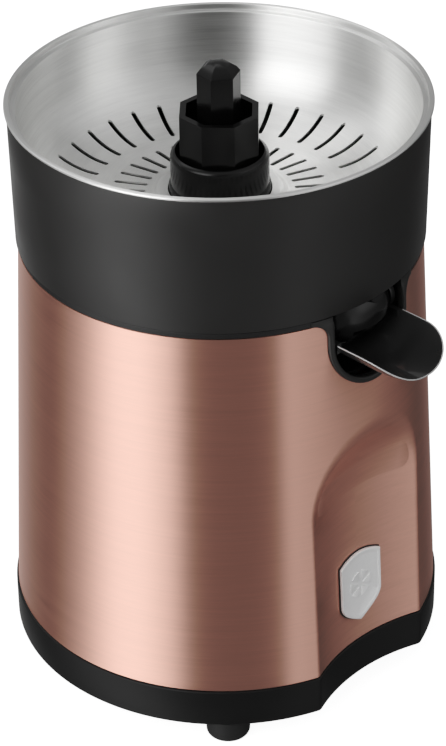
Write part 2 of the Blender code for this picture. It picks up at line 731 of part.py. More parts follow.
def build_collector(axis):
    inner = COLLAR_BOTTOM_RADIUS - COLLAR_WALL
    floor_low, floor_high = COLLAR_BOTTOM + 0.0004, COLLAR_BOTTOM + 0.0026
    bore = CHIMNEY_RADIUS - COLLAR_WALL
    profile = [
        (COLLAR_BOTTOM_RADIUS, COLLAR_BOTTOM),
        (COLLAR_TOP_RADIUS, COLLAR_TOP),
        (COLLAR_TOP_RADIUS - 0.0007, COLLAR_TOP),
        (COLLAR_TOP_RADIUS - 0.0007, COLLAR_TOP - 0.0022),
        (COLLAR_TOP_RADIUS - COLLAR_WALL, COLLAR_TOP - 0.0022),
        (inner, floor_high),
        (0.0198, floor_high),
        (0.0198, 0.1990),
        (CHIMNEY_RADIUS, 0.1992),
        (CHIMNEY_RADIUS, CHIMNEY_TOP - 0.0026),
        (CHIMNEY_RADIUS - 0.0008, CHIMNEY_TOP - 0.0008),
        (CHIMNEY_RADIUS - 0.0022, CHIMNEY_TOP),
        (bore, CHIMNEY_TOP),
        (bore, floor_low),
        (inner, floor_low),
        (inner, COLLAR_BOTTOM),
    ]
    collector = make_object("juice_collector", turned(profile, BIG), BLACK_PLASTIC, axis)
    cut(collector, nozzle_throat())


def nozzle_throat():
    """The square hole that leads from the collector's floor down into the nozzle."""
    half_width = NECK_HALF_WIDTH - 0.0020
    return box((-half_width, NECK_FRONT + 0.0020, PIVOT_Z), (half_width, NECK_BACK - 0.0022, 0.2000))


def build_nozzle(axis):
    """The nozzle welded under the collector's floor: a hollow barrel on a neck, open below its front."""
    top = COLLAR_BOTTOM - 0.0001
    nozzle = make_object("juice_nozzle", nozzle_barrel(0.0, NOZZLE_END), BLACK_PLASTIC, axis)
    join(nozzle, box((-NECK_HALF_WIDTH, NECK_FRONT, 0.1700), (NECK_HALF_WIDTH, NECK_BACK, top + 0.0010)))
    join(nozzle, side_slab(stop_tab_outline(), -0.0798, -0.0770))
    cut(nozzle, box((-0.0300, -0.1000, top), (0.0300, -0.0300, 0.2000)))
    cut(nozzle, nozzle_barrel(-NOZZLE_WALL, NOZZLE_END - 0.0022))
    cut(nozzle, nozzle_throat())
    mouth = box((-0.0090, -0.0900, PIVOT_Z - 0.0088), (0.0090, PIVOT_Y - 0.0060, PIVOT_Z - 0.0030))
    cut(nozzle, mouth)
    pivots = rod(0.0021, -0.0200, 0.0200, 12)
    pivots.transform(Matrix.Translation((0, PIVOT_Y, PIVOT_Z)) @ Matrix.Rotation(math.radians(90), 4, "Y"))
    cut(nozzle, pivots)


def nozzle_barrel(grow, end):
    rings = barrel_rings(grow, end, 0.0, 2 * math.pi, 20)
    barrel = loft([ring[:-1] for ring in rings])
    barrel.transform(Matrix.Translation((0, PIVOT_Y, PIVOT_Z)))
    return barrel


def stop_tab_outline():
    """The small sloping tab on the nozzle's front, just under the collar's edge."""
    return [(-0.0010, 0.1785), (-0.0010, 0.1782), (0.0051, 0.1736), (0.0051, 0.1785)]


def build_pivot_pins(axis):
    for name, sign in (("left", -1), ("right", 1)):
        ends = sorted((sign * 0.0132, sign * 0.0178))
        pin = make_object(f"spout_pivot_pin_{name}", rod(0.0018, ends[0], ends[1], 12), STEEL, axis,
                          (0, PIVOT_Y, PIVOT_Z))
        pin.rotation_euler = (0, math.radians(90), 0)


def build_spout(axis):
    """The tilting spout: a round-tipped gutter with a valve shell round the nozzle and two ears."""
    place = empty("spout_pivot", (0, PIVOT_Y, PIVOT_Z), axis)
    rim = SPOUT_RIM - PIVOT_Z
    floor = SPOUT_FLOOR - PIVOT_Z
    tip = -SPOUT_REACH - PIVOT_Y
    depth = rim - floor
    curve = (SPOUT_HALF_WIDTH ** 2 + depth ** 2) / (2 * depth)
    outer_curve = curve + SPOUT_WALL
    across = 12
    half_angle = math.asin(SPOUT_HALF_WIDTH / curve)
    section = []
    for k in range(across + 1):
        angle = half_angle * (2 * k / across - 1)
        section.append((curve * math.sin(angle), floor + curve - curve * math.cos(angle)))
    for k in range(across, -1, -1):
        angle = half_angle * (2 * k / across - 1)
        section.append((outer_curve * math.sin(angle), floor + curve - outer_curve * math.cos(angle)))
    spout = make_object("tilting_spout", side_slab(section, tip - 0.001, -0.0020), GLOSS_BLACK, place)
    join(spout, valve_shell())
    for side in (-1, 1):
        low, high = sorted((side * SPOUT_EARS[0], side * SPOUT_EARS[1]))
        ear = rod(0.0066, low, high, MEDIUM)
        ear.transform(Matrix.Rotation(math.radians(90), 4, "Y"))
        join(spout, ear)
        join(spout, box((low, -0.0110, rim - 0.0040), (high, 0.0040, rim + 0.0002)))
    clearance = barrel_rings(NOZZLE_CLEARANCE, NOZZLE_END + 0.0002, 0.0, 2 * math.pi, 24)
    cut(spout, loft([ring[:-1] for ring in clearance]))
    hole = rod(0.0020, -0.0300, 0.0300, 12)
    hole.transform(Matrix.Rotation(math.radians(90), 4, "Y"))
    cut(spout, hole)
    boolean(spout, tip_limit(tip), "INTERSECT")


def barrel_rings(grow, end, first, last, segments, steps=8):
    """Arcs round the pivot at steps along X, on the nozzle's barrel grown by a margin."""
    reach, deep, tall = (half + grow for half in NOZZLE_HALF)
    rings = []
    for k in range(steps + 1):
        x = -end + 2 * end * k / steps
        size = math.sqrt(1 - (x / reach) ** 2)
        ring = []
        for s in range(segments + 1):
            angle = first + (last - first) * s / segments
            ring.append((x, -deep * size * math.cos(angle), tall * size * math.sin(angle)))
        rings.append(ring)
    return rings


def valve_shell():
    """The curved wall under the nozzle that closes its mouth when the spout tips up."""
    end = NOZZLE_END - 0.0008
    first, last = math.radians(-52), math.radians(-150)
    inner = barrel_rings(NOZZLE_CLEARANCE - 0.0002, end, first, last, 8)
    outer = barrel_rings(NOZZLE_CLEARANCE + 0.0018, end, first, last, 8)
    return loft([near + list(reversed(far)) for near, far in zip(inner, outer)])


def tip_limit(tip):
    """The plan outline of the spout: straight sides and a tip a little squarer than a half-ellipse."""
    half = SPOUT_HALF_WIDTH + 0.0006
    power = 2 / SPOUT_TIP_POWER
    outline = [(half, 0.0200)]
    for k in range(21):
        angle = math.radians(180 * k / 20)
        x = math.copysign(abs(math.cos(angle)) ** power, math.cos(angle))
        y = 1 - math.sin(angle) ** power
        outline.append((half * x, tip + SPOUT_TIP_LENGTH * y))
    outline.append((-half, 0.0200))
    return slab(outline, -0.0300, 0.0300)


def bowl_profile():
    """The pressed sheet from the centre hole out to the rolled rim, inner face first."""
    inner = [(BOWL_HOLE, 0.1964), (0.0240, 0.1964), (0.0268, BOWL_FLOOR)]
    centre_r = BOWL_INNER - BOWL_CURVE
    centre_z = BOWL_FLOOR + BOWL_CURVE
    for k in range(BOWL_STEPS + 1):
        angle = math.radians(90 * k / BOWL_STEPS)
        inner.append((centre_r + BOWL_CURVE * math.sin(angle), centre_z - BOWL_CURVE * math.cos(angle)))
    groove = BOWL_TOP - 0.0024
    lip = BOWL_TOP - 0.0013
    step = BOWL_INNER + 0.0013
    rim = [
        (BOWL_INNER, groove),
        (step, groove),
        (step, BOWL_TOP),
        (BOWL_RADIUS - 0.0004, BOWL_TOP),
        (BOWL_RADIUS, BOWL_TOP - 0.0004),
        (BOWL_RADIUS - 0.0006, lip),
        (step + 0.0003, lip),
        (step + 0.0003, groove - BOWL_SHEET),
        (BOWL_INNER + 0.0001, groove - BOWL_SHEET),
    ]
    sheet = BOWL_SHEET
    outer = []
    for k in range(BOWL_STEPS, -1, -1):
        angle = math.radians(90 * k / BOWL_STEPS)
        radius = BOWL_CURVE + sheet
        outer.append((centre_r + radius * math.sin(angle), centre_z - radius * math.cos(angle)))
    outer += [(0.0268, BOWL_FLOOR - sheet), (0.0240, 0.1964 - sheet), (BOWL_HOLE, 0.1964 - sheet)]
    return inner, rim, outer


def build_bowl(axis):
    inner, rim, outer = bowl_profile()
    skirt = BOWL_INNER - 0.0010
    inner = [(min(r, skirt), z) for r, z in inner]
    outer = [(min(r, skirt + BOWL_SHEET), z) for r, z in outer]
    sheet = turned(inner + rim + outer, SLOT_COUNT, phase=BOWL_PHASE)
    bowl = make_object("strainer_bowl", sheet, STAINLESS, axis)
    slots = []
    for _, start, end, phase in SLOT_RINGS:
        for k in range(SLOT_COUNT):
            angle = math.radians(phase + 360 * k / SLOT_COUNT)
            slot = box((-SLOT_WIDTH / 2, -end, 0.1880), (SLOT_WIDTH / 2, -start, 0.2060))
            slot.transform(Matrix.Rotation(angle, 4, "Z"))
            slots.append(slot)
    cut(bowl, merge(*slots))


# ---------------------------------------------------------------- materials and assembly

ROSE_METAL = material("rose_metal", (0.42, 0.22, 0.17), 0.32, 1.0)
BLACK_PLASTIC = material("black_plastic", (0.024, 0.022, 0.021), 0.42)
GLOSS_BLACK = material("gloss_black", (0.012, 0.012, 0.013), 0.18)
RUBBER = material("rubber", (0.020, 0.020, 0.020), 0.80)
STAINLESS = material("stainless", (0.62, 0.62, 0.61), 0.28, 1.0)
SILVER = material("silver", (0.75, 0.76, 0.77), 0.25, 1.0)
STEEL = material("steel", (0.50, 0.50, 0.51), 0.35, 1.0)
BRONZE = material("bronze", (0.48, 0.31, 0.14), 0.40, 1.0)
COPPER = material("copper", (0.60, 0.27, 0.13), 0.35, 1.0)
GREY_PLASTIC = material("grey_plastic", (0.30, 0.31, 0.32), 0.55)
WHITE_PLASTIC = material("white_plastic", (0.80, 0.80, 0.77), 0.50)
RED_PLASTIC = material("red_plastic", (0.50, 0.04, 0.03), 0.45)
GEAR_PLASTIC = material("gear_plastic", (0.78, 0.76, 0.68), 0.45)
MAGNET = material("magnet", (0.10, 0.10, 0.11), 0.60)
CARBON = material("carbon", (0.04, 0.04, 0.04), 0.70)
FOOT_ANGLES = (45.0, 135.0, 225.0, 315.0)


def build_juicer():
    clear_scene()
    axis = empty("juicer_axis", (0, AXIS_Y, FOOT_HEIGHT))
    build_skin(axis)
    build_base_ring(axis)
    build_bottom_cover(axis)
    build_feet(axis)
    build_cover_screws(axis)
    build_upper_chassis(axis)
    build_bezel(axis)
    build_badge(axis)
    build_cord_inlet(axis)
    build_terminal_block(axis)
    build_gear_case(axis)
    build_case_cover(axis)
    build_case_screws(axis)
    build_shaft_bushes(axis)
    build_drive(axis)
    build_idler(axis)
    build_motor_housing(axis)
    build_rotor(axis)
    build_press(axis)
    build_collector(axis)
    build_nozzle(axis)
    build_pivot_pins(axis)
    build_spout(axis)
    build_bowl(axis)


build_juicer()
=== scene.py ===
"""The looks of the citrus press juicer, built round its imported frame.

Every visible piece is modelled in the body's own coordinates: the origin is on the body's axis at the
underside of the base ring, +Z is up and the spout points along -Y. Angles run from -Y towards +X.
"""

import json
import math

import bmesh
import bpy
from mathutils import Matrix, Vector


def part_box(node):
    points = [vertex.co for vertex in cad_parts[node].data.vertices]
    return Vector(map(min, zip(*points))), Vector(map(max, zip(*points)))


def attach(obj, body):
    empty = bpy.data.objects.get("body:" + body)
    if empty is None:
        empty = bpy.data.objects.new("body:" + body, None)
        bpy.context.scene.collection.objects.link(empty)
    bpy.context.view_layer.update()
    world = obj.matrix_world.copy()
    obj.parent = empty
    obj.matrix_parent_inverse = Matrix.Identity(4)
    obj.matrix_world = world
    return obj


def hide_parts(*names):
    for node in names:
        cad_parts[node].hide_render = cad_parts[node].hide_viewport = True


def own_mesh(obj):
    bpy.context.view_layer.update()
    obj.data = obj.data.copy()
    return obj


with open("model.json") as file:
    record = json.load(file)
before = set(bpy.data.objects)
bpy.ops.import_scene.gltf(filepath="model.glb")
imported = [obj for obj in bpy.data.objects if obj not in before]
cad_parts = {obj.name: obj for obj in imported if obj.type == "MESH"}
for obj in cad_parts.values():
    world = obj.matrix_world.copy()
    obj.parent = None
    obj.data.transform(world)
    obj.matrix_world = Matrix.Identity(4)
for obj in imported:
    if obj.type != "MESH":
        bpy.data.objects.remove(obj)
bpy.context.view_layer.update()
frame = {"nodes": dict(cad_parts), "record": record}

# ---------------------------------------------------------------- dimensions, in metres

BASE_RADIUS = 0.08787
BASE_HEIGHT = 0.0165
SKIN_BOTTOM = 0.0168
SKIN_TOP = 0.1759
SKIN_BOTTOM_RADIUS = 0.08709
SKIN_TAPER = 0.0485
SKIN_THICKNESS = 0.0008
SKIN_FINE_LOW = 0.0840
SKIN_FINE_HIGH = 0.1280

RECESS_HALF_WIDTH = 0.0300
RECESS_CURVE = 0.0805
RECESS_ARCH_START = 0.0880
RECESS_ARCH_RISE = 0.0335

OPENING_HALF_WIDTH = 0.0190
OPENING_CENTRE = 0.1655
BEZEL_WIDTH = 0.0024
BEZEL_FLARE = 0.0065

DECK_TOP = 0.1784
DECK_BOTTOM = 0.1744
BAND_RADIUS = 0.0792
BAND_BOTTOM = 0.1762
POCKET_BACK = -0.0500

COLLAR_BOTTOM = 0.1788
COLLAR_BOTTOM_RADIUS = 0.0802
COLLAR_TOP = 0.2346
COLLAR_TOP_RADIUS = 0.0811
COLLAR_WALL = 0.0022
CHIMNEY_RADIUS = 0.0192
CHIMNEY_FLANGE = 0.0198
CHIMNEY_TOP = 0.2127

PIVOT_Y = -0.0686
PIVOT_Z = 0.1705
NOZZLE_HALF = (0.01725, 0.01244, 0.0125)
NOZZLE_END = 0.0154
NOZZLE_WALL = 0.0019
NOZZLE_CLEARANCE = 0.0007
NECK_HALF_WIDTH = 0.0115
NECK_FRONT = -0.0735
NECK_BACK = -0.0572
SPOUT_REACH = 0.1074
SPOUT_HALF_WIDTH = 0.0180
SPOUT_RIM = 0.1658
SPOUT_FLOOR = 0.1570
SPOUT_WALL = 0.0016
SPOUT_EDGE = 0.0005
SPOUT_TIP_LENGTH = 0.0182
SPOUT_TIP_POWER = 2.6
LIP_RADIUS = 0.00030
SPOUT_EARS = (0.0158, 0.0180)

BOWL_RADIUS = 0.0820
BOWL_TOP = 0.2363
BOWL_INNER = 0.0785
BOWL_WALL = 0.0775
BOWL_FLOOR = 0.1940
BOWL_CURVE = 0.0290
BOWL_SHEET = 0.0008
BOWL_HOLE = 0.0203
BOWL_HUMP_TOP = 0.1964
BOWL_HUMP_RADIUS = 0.0275
SLOT_COUNT = 36
SLOT_WIDTH = 0.0019
SLOT_CUT = (0.1880, 0.2060)
SLOT_RINGS = ((0.0502, 0.0671, 6.5), (0.0291, 0.0425, 1.3))

STAGE_RADIUS = 0.0163
STAGE_LOW = 0.2000
STAGE_HIGH = 0.2300
STAGE_PHASE = 20.6
CUP_WALL = 0.0026
CUP_FLOOR = 0.2200
PIN_RADIUS = 0.0085
PIN_PHASE = -5.4
PIN_TOP = 0.2460
PIN_APEX = 0.2500

SPRING_LOW = 0.1368
SPRING_HIGH = 0.1409
SPRING_RADIUS = 0.0055
SPRING_WIRE = 0.0004
SPRING_TURNS = 3

FOOT_HEIGHT = 0.0110
FOOT_RADIUS = 0.0088
FOOT_CIRCLE = 0.0770
BADGE_HALF_WIDTH = 0.0118
BADGE_LOW = 0.0260
BADGE_HIGH = 0.0595

# The studio. LOW_ROUND and HIGH_ROUND hold the light by compass angle: the skin and the collar reflect the
# first, near the horizon, and the bowl the second, above it. The lists by height run from -1, straight down,
# to 1, straight up: the share of HIGH_ROUND, the dimming towards the floor, and the share of the ceiling. A
# small box stands high at the back.
LOW_ROUND = ((-180, 0.20), (-168, 0.09), (-155, 0.06), (-146, 0.10), (-136, 0.30), (-128, 0.50),
             (-118, 0.98), (-104, 1.62), (-90, 1.40), (-79, 0.78), (-70, 0.36), (-65, 0.15), (-50, 0.15),
             (-16, 0.14), (-11, 0.62), (2, 0.47), (20, 0.27), (52, 0.13), (80, 0.05), (100, 0.10),
             (114, 0.22), (150, 0.42), (166, 0.44), (180, 0.20))
HIGH_ROUND = ((-180, 0.65), (-157, 0.83), (-148, 0.50), (-143, 0.36), (-131, 0.49), (-120, 0.62),
              (-116, 1.30), (-109, 2.50), (-90, 3.30), (-74, 3.20), (-67, 1.20), (-62, 0.36), (-52, 0.14),
              (-30, 0.13), (-18, 0.38), (-2, 0.48), (7, 0.66), (17, 0.86), (27, 0.74), (50, 0.60),
              (63, 0.56), (79, 0.26), (102, 0.26), (160, 0.30), (180, 0.60))
KEY_PEAK = 3.30
HIGH_SHARE = ((-1.0, 0.0), (-0.05, 0.0), (0.3, 1.0), (1.0, 1.0))
LOW_LIGHT = ((-1.0, 0.3), (-0.85, 0.6), (-0.7, 1.0), (1.0, 1.0))
CEILING_SHARE = ((-1.0, 0.0), (0.6, 0.0), (0.9, 1.0), (1.0, 1.0))
CEILING_LIGHT = 0.45
TOP_BOX_ROUND = ((-180, 1.0), (-165, 1.0), (-150, 0.0), (125, 0.0), (140, 1.0), (180, 1.0))
TOP_BOX_HEIGHT = ((-1.0, 0.0), (0.62, 0.0), (0.70, 1.0), (0.88, 1.0), (0.93, 0.0))
TOP_BOX_LIGHT = 0.8
FLOOR_HALF_SIZE = 6.0
FLOOR_GLOW = 0.88
FLOOR_GREY = 0.60

# The film: the shown grey, on a scale of 0 to 1, rises by FILM_SLOPE times the logarithm of the light.
FILM_SLOPE = 60 / 255
FILM_LIGHTS = (0.05, 0.09, 0.17, 0.30, 0.50, 0.70)

CAMERA_LENS = 140.2
CAMERA_SENSOR = 36.0
CAMERA_PLACE = (-0.6977, -0.6977, 0.7437)
CAMERA_TURN = -45
CAMERA_TILT = 57.313
CAMERA_ROLL = -0.871

ring_low, ring_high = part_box("base_ring")
AXIS = Vector((0.0, ring_high.y - BASE_RADIUS, ring_low.z))


# ---------------------------------------------------------------- mesh tools

def link(name, mesh, location=(0, 0, 0)):
    made = bpy.data.objects.new(name, mesh)
    made.location = location
    bpy.context.scene.collection.objects.link(made)
    return made


def mesh_of(name, bm, sharp=35):
    bmesh.ops.remove_doubles(bm, verts=bm.verts, dist=1e-7)
    bmesh.ops.recalc_face_normals(bm, faces=bm.faces)
    mesh = bpy.data.meshes.new(name)
    bm.to_mesh(mesh)
    bm.free()
    mesh.shade_smooth()
    mesh.set_sharp_from_angle(angle=math.radians(sharp))
    return mesh


def apply_modifiers(obj, sharp=35):
    """Replace an object's mesh by its evaluated one."""
    bpy.context.view_layer.update()
    evaluated = obj.evaluated_get(bpy.context.evaluated_depsgraph_get())
    mesh = bpy.data.meshes.new_from_object(evaluated)
    obj.modifiers.clear()
    old = obj.data
    obj.data = mesh
    bpy.data.meshes.remove(old)
    mesh.name = obj.name
    mesh.shade_smooth()
    mesh.set_sharp_from_angle(angle=math.radians(sharp))


def combine(obj, operation, *tools, sharp=35):
    """Boolean steps with bmesh tools, applied one after another."""
    helpers = []
    for tool in tools:
        helper = link("helper", mesh_of("helper", tool))
        step = obj.modifiers.new("cut", "BOOLEAN")
        step.operation = operation
        step.solver = "EXACT"
        step.object = helper
        helpers.append(helper)
    apply_modifiers(obj, sharp)
    for helper in helpers:
        mesh = helper.data
        bpy.data.objects.remove(helper)
        bpy.data.meshes.remove(mesh)


def soften(obj, width, segments=3, limit=30):
    """Rounded edges."""
    bevel = obj.modifiers.new("soft_edges", "BEVEL")
    bevel.width = width
    bevel.segments = segments
    bevel.limit_method = "ANGLE"
    bevel.angle_limit = math.radians(limit)
    bevel.use_clamp_overlap = True
    bevel.harden_normals = True


def set_normals(obj, normal_at, agreement=0.8):
    """Shade the faces that lie on a known surface with that surface's own normals."""
    mesh = obj.data
    known = {}
    normals = [Vector((0, 0, 0))] * len(mesh.loops)
    for face in mesh.polygons:
        for index in face.loop_indices:
            vertex = mesh.loops[index].vertex_index
            if vertex not in known:
                known[vertex] = normal_at(mesh.vertices[vertex].co)
            if known[vertex] and face.normal.dot(known[vertex]) > agreement:
                normals[index] = known[vertex]
    mesh.normals_split_custom_set(normals)


def bridge(bm, first, second):
    count = max(len(first), len(second))
    for k in range(count):
        corners = [
            first[k % len(first)],
            first[(k + 1) % len(first)],
            second[(k + 1) % len(second)],
            second[k % len(second)],
        ]
        unique = list(dict.fromkeys(corners))
        if len(unique) > 2:
            bm.faces.new(unique)


def loft(rings, closed=False):
    """A solid through rings of points: capped at both ends, or closed back onto its first ring."""
    bm = bmesh.new()
    levels = [[bm.verts.new(point) for point in ring] for ring in rings]
    for lower, upper in zip(levels, levels[1:]):
        bridge(bm, lower, upper)
    if closed:
        bridge(bm, levels[-1], levels[0])
    else:
        for end in (levels[0], levels[-1]):
            if len(end) > 2:
                bm.faces.new(end)
    return bm


def circle(radius, height, segments, centre=(0.0, 0.0), phase=0.0):
    points = []
    for k in range(segments):
        angle = phase + 2 * math.pi * k / segments
        points.append((centre[0] + radius * math.sin(angle), centre[1] - radius * math.cos(angle), height))
    return points


def turned(profile, segments, centre=(0.0, 0.0)):
    rings = []
    for radius, height in profile:
        if radius == 0.0:
            rings.append([(centre[0], centre[1], height)])
        else:
            rings.append(circle(radius, height, segments, centre))
    return loft(rings, closed=profile[0][0] != 0.0)


def rod(radius, low, high, segments, centre=(0.0, 0.0)):
    return loft([circle(radius, low, segments, centre), circle(radius, high, segments, centre)])


def cross_rod(radius, reach, segments, y, z):
    """A rod along X."""
    bm = rod(radius, -reach, reach, segments)
    bm.transform(Matrix.Translation((0, y, z)) @ Matrix.Rotation(math.radians(90), 4, "Y"))
    return bm


def box(low, high):
    corners = [(low[0], low[1]), (high[0], low[1]), (high[0], high[1]), (low[0], high[1])]
    return loft([[(x, y, low[2]) for x, y in corners], [(x, y, high[2]) for x, y in corners]])


def side_slab(outline, front, back):
    """An outline in X and Z, extruded along Y."""
    return loft([[(x, front, z) for x, z in outline], [(x, back, z) for x, z in outline]])


def merge(parts):
    joined = bmesh.new()
    for part in parts:
        mesh = bpy.data.meshes.new("merge")
        part.to_mesh(mesh)
        part.free()
        joined.from_mesh(mesh)
        bpy.data.meshes.remove(mesh)
    return joined


def corner_arc(centre, radius, first, last, steps):
    """Points of an arc in a turned profile; 0 degrees is outwards and 90 is up."""
    points = []
    for k in range(steps + 1):
        angle = math.radians(first + (last - first) * k / steps)
        points.append((centre[0] + radius * math.cos(angle), centre[1] + radius * math.sin(angle)))
    return points


def piece(name, mesh, finish, body, replaces=()):
    """A finished piece that rides on a body and stands for CAD nodes."""
    made = mesh if isinstance(mesh, bpy.types.Object) else link(name, mesh)
    made.name = name
    made.location = AXIS
    made.data.materials.clear()
    made.data.materials.append(finish)
    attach(made, body)
    if replaces:
        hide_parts(*replaces)
    return made


# ---------------------------------------------------------------- materials

class Nodes:
    """A small helper to write a material's node tree line by line."""

    def __init__(self, name):
        self.material = bpy.data.materials.new(name)
        self.material.use_nodes = True
        self.tree = self.material.node_tree
        self.shader = self.tree.nodes["Principled BSDF"]

    def add(self, kind, settings=None, **inputs):
        node = self.tree.nodes.new(kind)
        for key, value in (settings or {}).items():
            setattr(node, key, value)
        for key, value in inputs.items():
            self.feed(node, key.replace("_", " "), value)
        return node

    def feed(self, node, socket, value):
        target = node.inputs[int(socket)] if socket.isdigit() else node.inputs[socket]
        if isinstance(value, bpy.types.NodeSocket):
            self.tree.links.new(value, target)
        else:
            target.default_value = value

    def math(self, operation, first, second=0.0):
        node = self.tree.nodes.new("ShaderNodeMath")
        node.operation = operation
        self.feed(node, "0", first)
        self.feed(node, "1", second)
        return node.outputs[0]

    def spread(self, value, low, high, from_low=0.0, from_high=1.0):
        node = self.tree.nodes.new("ShaderNodeMapRange")
        for key, number in (("1", from_low), ("2", from_high), ("3", low), ("4", high)):
            self.feed(node, key, number)
        self.feed(node, "0", value)
        return node.outputs[0]

    def tint(self, value, first, second):
        node = self.tree.nodes.new("ShaderNodeMix")
        node.data_type = "RGBA"
        self.feed(node, "0", value)
        node.inputs[6].default_value = (*first, 1.0)
        node.inputs[7].default_value = (*second, 1.0)
        return node.outputs[2]

    def set(self, **values):
        for key, value in values.items():
            self.feed(self.shader, key.replace("_", " "), value)


def plastic(name, colour, roughness, grain=2400.0, bump=0.05, coat=0.0, specular=0.5):
    """Moulded plastic: a fine spark-eroded grain with faint cloudy wear in its gloss."""
    m = Nodes(name)
    place = m.add("ShaderNodeTexCoord").outputs["Object"]
    fine = m.add("ShaderNodeTexNoise", Vector=place, Scale=grain, Detail=2.0).outputs[0]
    cloud = m.add("ShaderNodeTexNoise", Vector=place, Scale=38.0, Detail=3.0).outputs[0]
    lighter = tuple(min(1.0, c * 1.12 + 0.001) for c in colour)
    darker = tuple(c * 0.90 for c in colour)
    m.set(Base_Color=m.tint(cloud, darker, lighter))
    m.set(Roughness=m.spread(cloud, roughness - 0.04, roughness + 0.04, 0.3, 0.7))
    dent = m.add("ShaderNodeBump", Strength=bump, Distance=0.0002, Height=fine).outputs[0]
    m.set(Normal=dent, Specular_IOR_Level=specular)
    if coat:
        m.set(Coat_Weight=coat, Coat_Roughness=0.06)
    return m.material


def brushed(name, colour, roughness, anisotropic, axis="round", streak=0.05):
    """Sheet metal brushed round the body's axis: long fine streaks and a highlight drawn out across them."""
    m = Nodes(name)
    place = m.add("ShaderNodeTexCoord").outputs["Object"]
    parts = m.add("ShaderNodeSeparateXYZ", Vector=place)
    angle = m.math("ARCTAN2", parts.outputs[0], parts.outputs[1])
    across = m.math("MULTIPLY", parts.outputs[0], parts.outputs[0])
    along = m.math("MULTIPLY", parts.outputs[1], parts.outputs[1])
    radius = m.math("SQRT", m.math("ADD", across, along))
    lines = m.add("ShaderNodeCombineXYZ")
    m.feed(lines, "0", m.math("MULTIPLY", angle, 5.0))
    if axis == "round":
        m.feed(lines, "1", m.math("MULTIPLY", parts.outputs[2], 5200.0))
        m.feed(lines, "2", m.math("MULTIPLY", radius, 400.0))
    else:
        m.feed(lines, "1", m.math("MULTIPLY", m.math("ADD", radius, parts.outputs[2]), 5200.0))
    noise = m.add("ShaderNodeTexNoise", Vector=lines.outputs[0], Scale=1.0, Detail=4.0, Roughness=0.65)
    streaks = noise.outputs[0]
    broad = m.add("ShaderNodeCombineXYZ")
    m.feed(broad, "0", m.math("MULTIPLY", angle, 2.0))
    m.feed(broad, "1", m.math("MULTIPLY", parts.outputs[2], 700.0))
    m.feed(broad, "2", m.math("MULTIPLY", radius, 120.0))
    bands = m.add("ShaderNodeTexNoise", Vector=broad.outputs[0], Scale=1.0, Detail=2.0).outputs[0]
    both = m.math("ADD", m.math("MULTIPLY", streaks, 0.6), m.math("MULTIPLY", bands, 0.4))
    darker = tuple(c * (1 - streak) for c in colour)
    lighter = tuple(min(1.0, c * (1 + streak)) for c in colour)
    share = m.spread(both, 0.0, 1.0, 0.35, 0.65)
    m.set(Base_Color=m.tint(share, darker, lighter))
    m.set(Roughness=m.spread(both, roughness - 0.03, roughness + 0.03, 0.35, 0.65))
    m.set(Metallic=1.0, Anisotropic=anisotropic, Anisotropic_Rotation=0.25)
    tangent = m.add("ShaderNodeTangent", {"direction_type": "RADIAL", "axis": "Z"}).outputs[0]
    m.set(Tangent=tangent)
    dent = m.add("ShaderNodeBump", Strength=0.10, Distance=0.00003, Height=streaks).outputs[0]
    m.set(Normal=dent)
    return m.material


def plain_metal(name, colour, roughness, scale=300.0, metallic=1.0):
    """Turned, stamped or plated metal with a mottled, slightly rubbed surface."""
    m = Nodes(name)
    place = m.add("ShaderNodeTexCoord").outputs["Object"]
    cloud = m.add("ShaderNodeTexNoise", Vector=place, Scale=scale, Detail=4.0).outputs[0]
    darker = tuple(c * 0.92 for c in colour)
    m.set(Base_Color=m.tint(cloud, darker, colour))
    m.set(Roughness=m.spread(cloud, roughness - 0.05, roughness + 0.05, 0.3, 0.7))
    m.set(Metallic=metallic)
    dent = m.add("ShaderNodeBump", Strength=0.08, Distance=0.0001, Height=cloud).outputs[0]
    m.set(Normal=dent)
    return m.material


ROSE = brushed("brushed_rose_metal", (0.80, 0.44, 0.356), 0.32, 1.0)
STAINLESS = brushed("brushed_stainless", (0.80, 0.80, 0.79), 0.34, 1.0, axis="dish", streak=0.10)
SATIN_BLACK = plastic("satin_black_plastic", (0.014, 0.0135, 0.013), 0.40, bump=0.10)
DECK_BLACK = plastic("chassis_black_plastic", (0.006, 0.006, 0.006), 0.45, bump=0.10)
GLOSS_BLACK = plastic("gloss_black_plastic", (0.004, 0.004, 0.004), 0.22, bump=0.01)
RUBBER = plastic("black_rubber", (0.006, 0.006, 0.006), 0.70, grain=1200.0, bump=0.25)
RING_BLACK = plastic("ring_black_plastic", (0.005, 0.005, 0.005), 0.42, bump=0.10, specular=0.22)
SPINDLE_BLACK = plastic("spindle_black_plastic", (0.002, 0.002, 0.002), 0.20, bump=0.01, specular=0.30)
# Light grey for the bead on the spout's edge: a painted highlight that stands for the bright line of light
# on the black rim.
LIP_PAINTED_HIGHLIGHT_GREY = plastic("painted_highlight_lip_grey", (0.40, 0.40, 0.40), 0.22, bump=0.01, coat=0.8)
SPOUT_BLACK = plastic("spout_black_plastic", (0.014, 0.014, 0.014), 0.30, bump=0.01, coat=0.7)
# Silver made near white and almost without metal: its own pale tone plus a painted reflection of the bright
# backdrop, carried in the base colour.
SILVER_WITH_PAINTED_REFLECTION = plain_metal("silver_with_painted_reflection", (0.98, 0.98, 0.98), 0.40, 900.0, metallic=0.05)

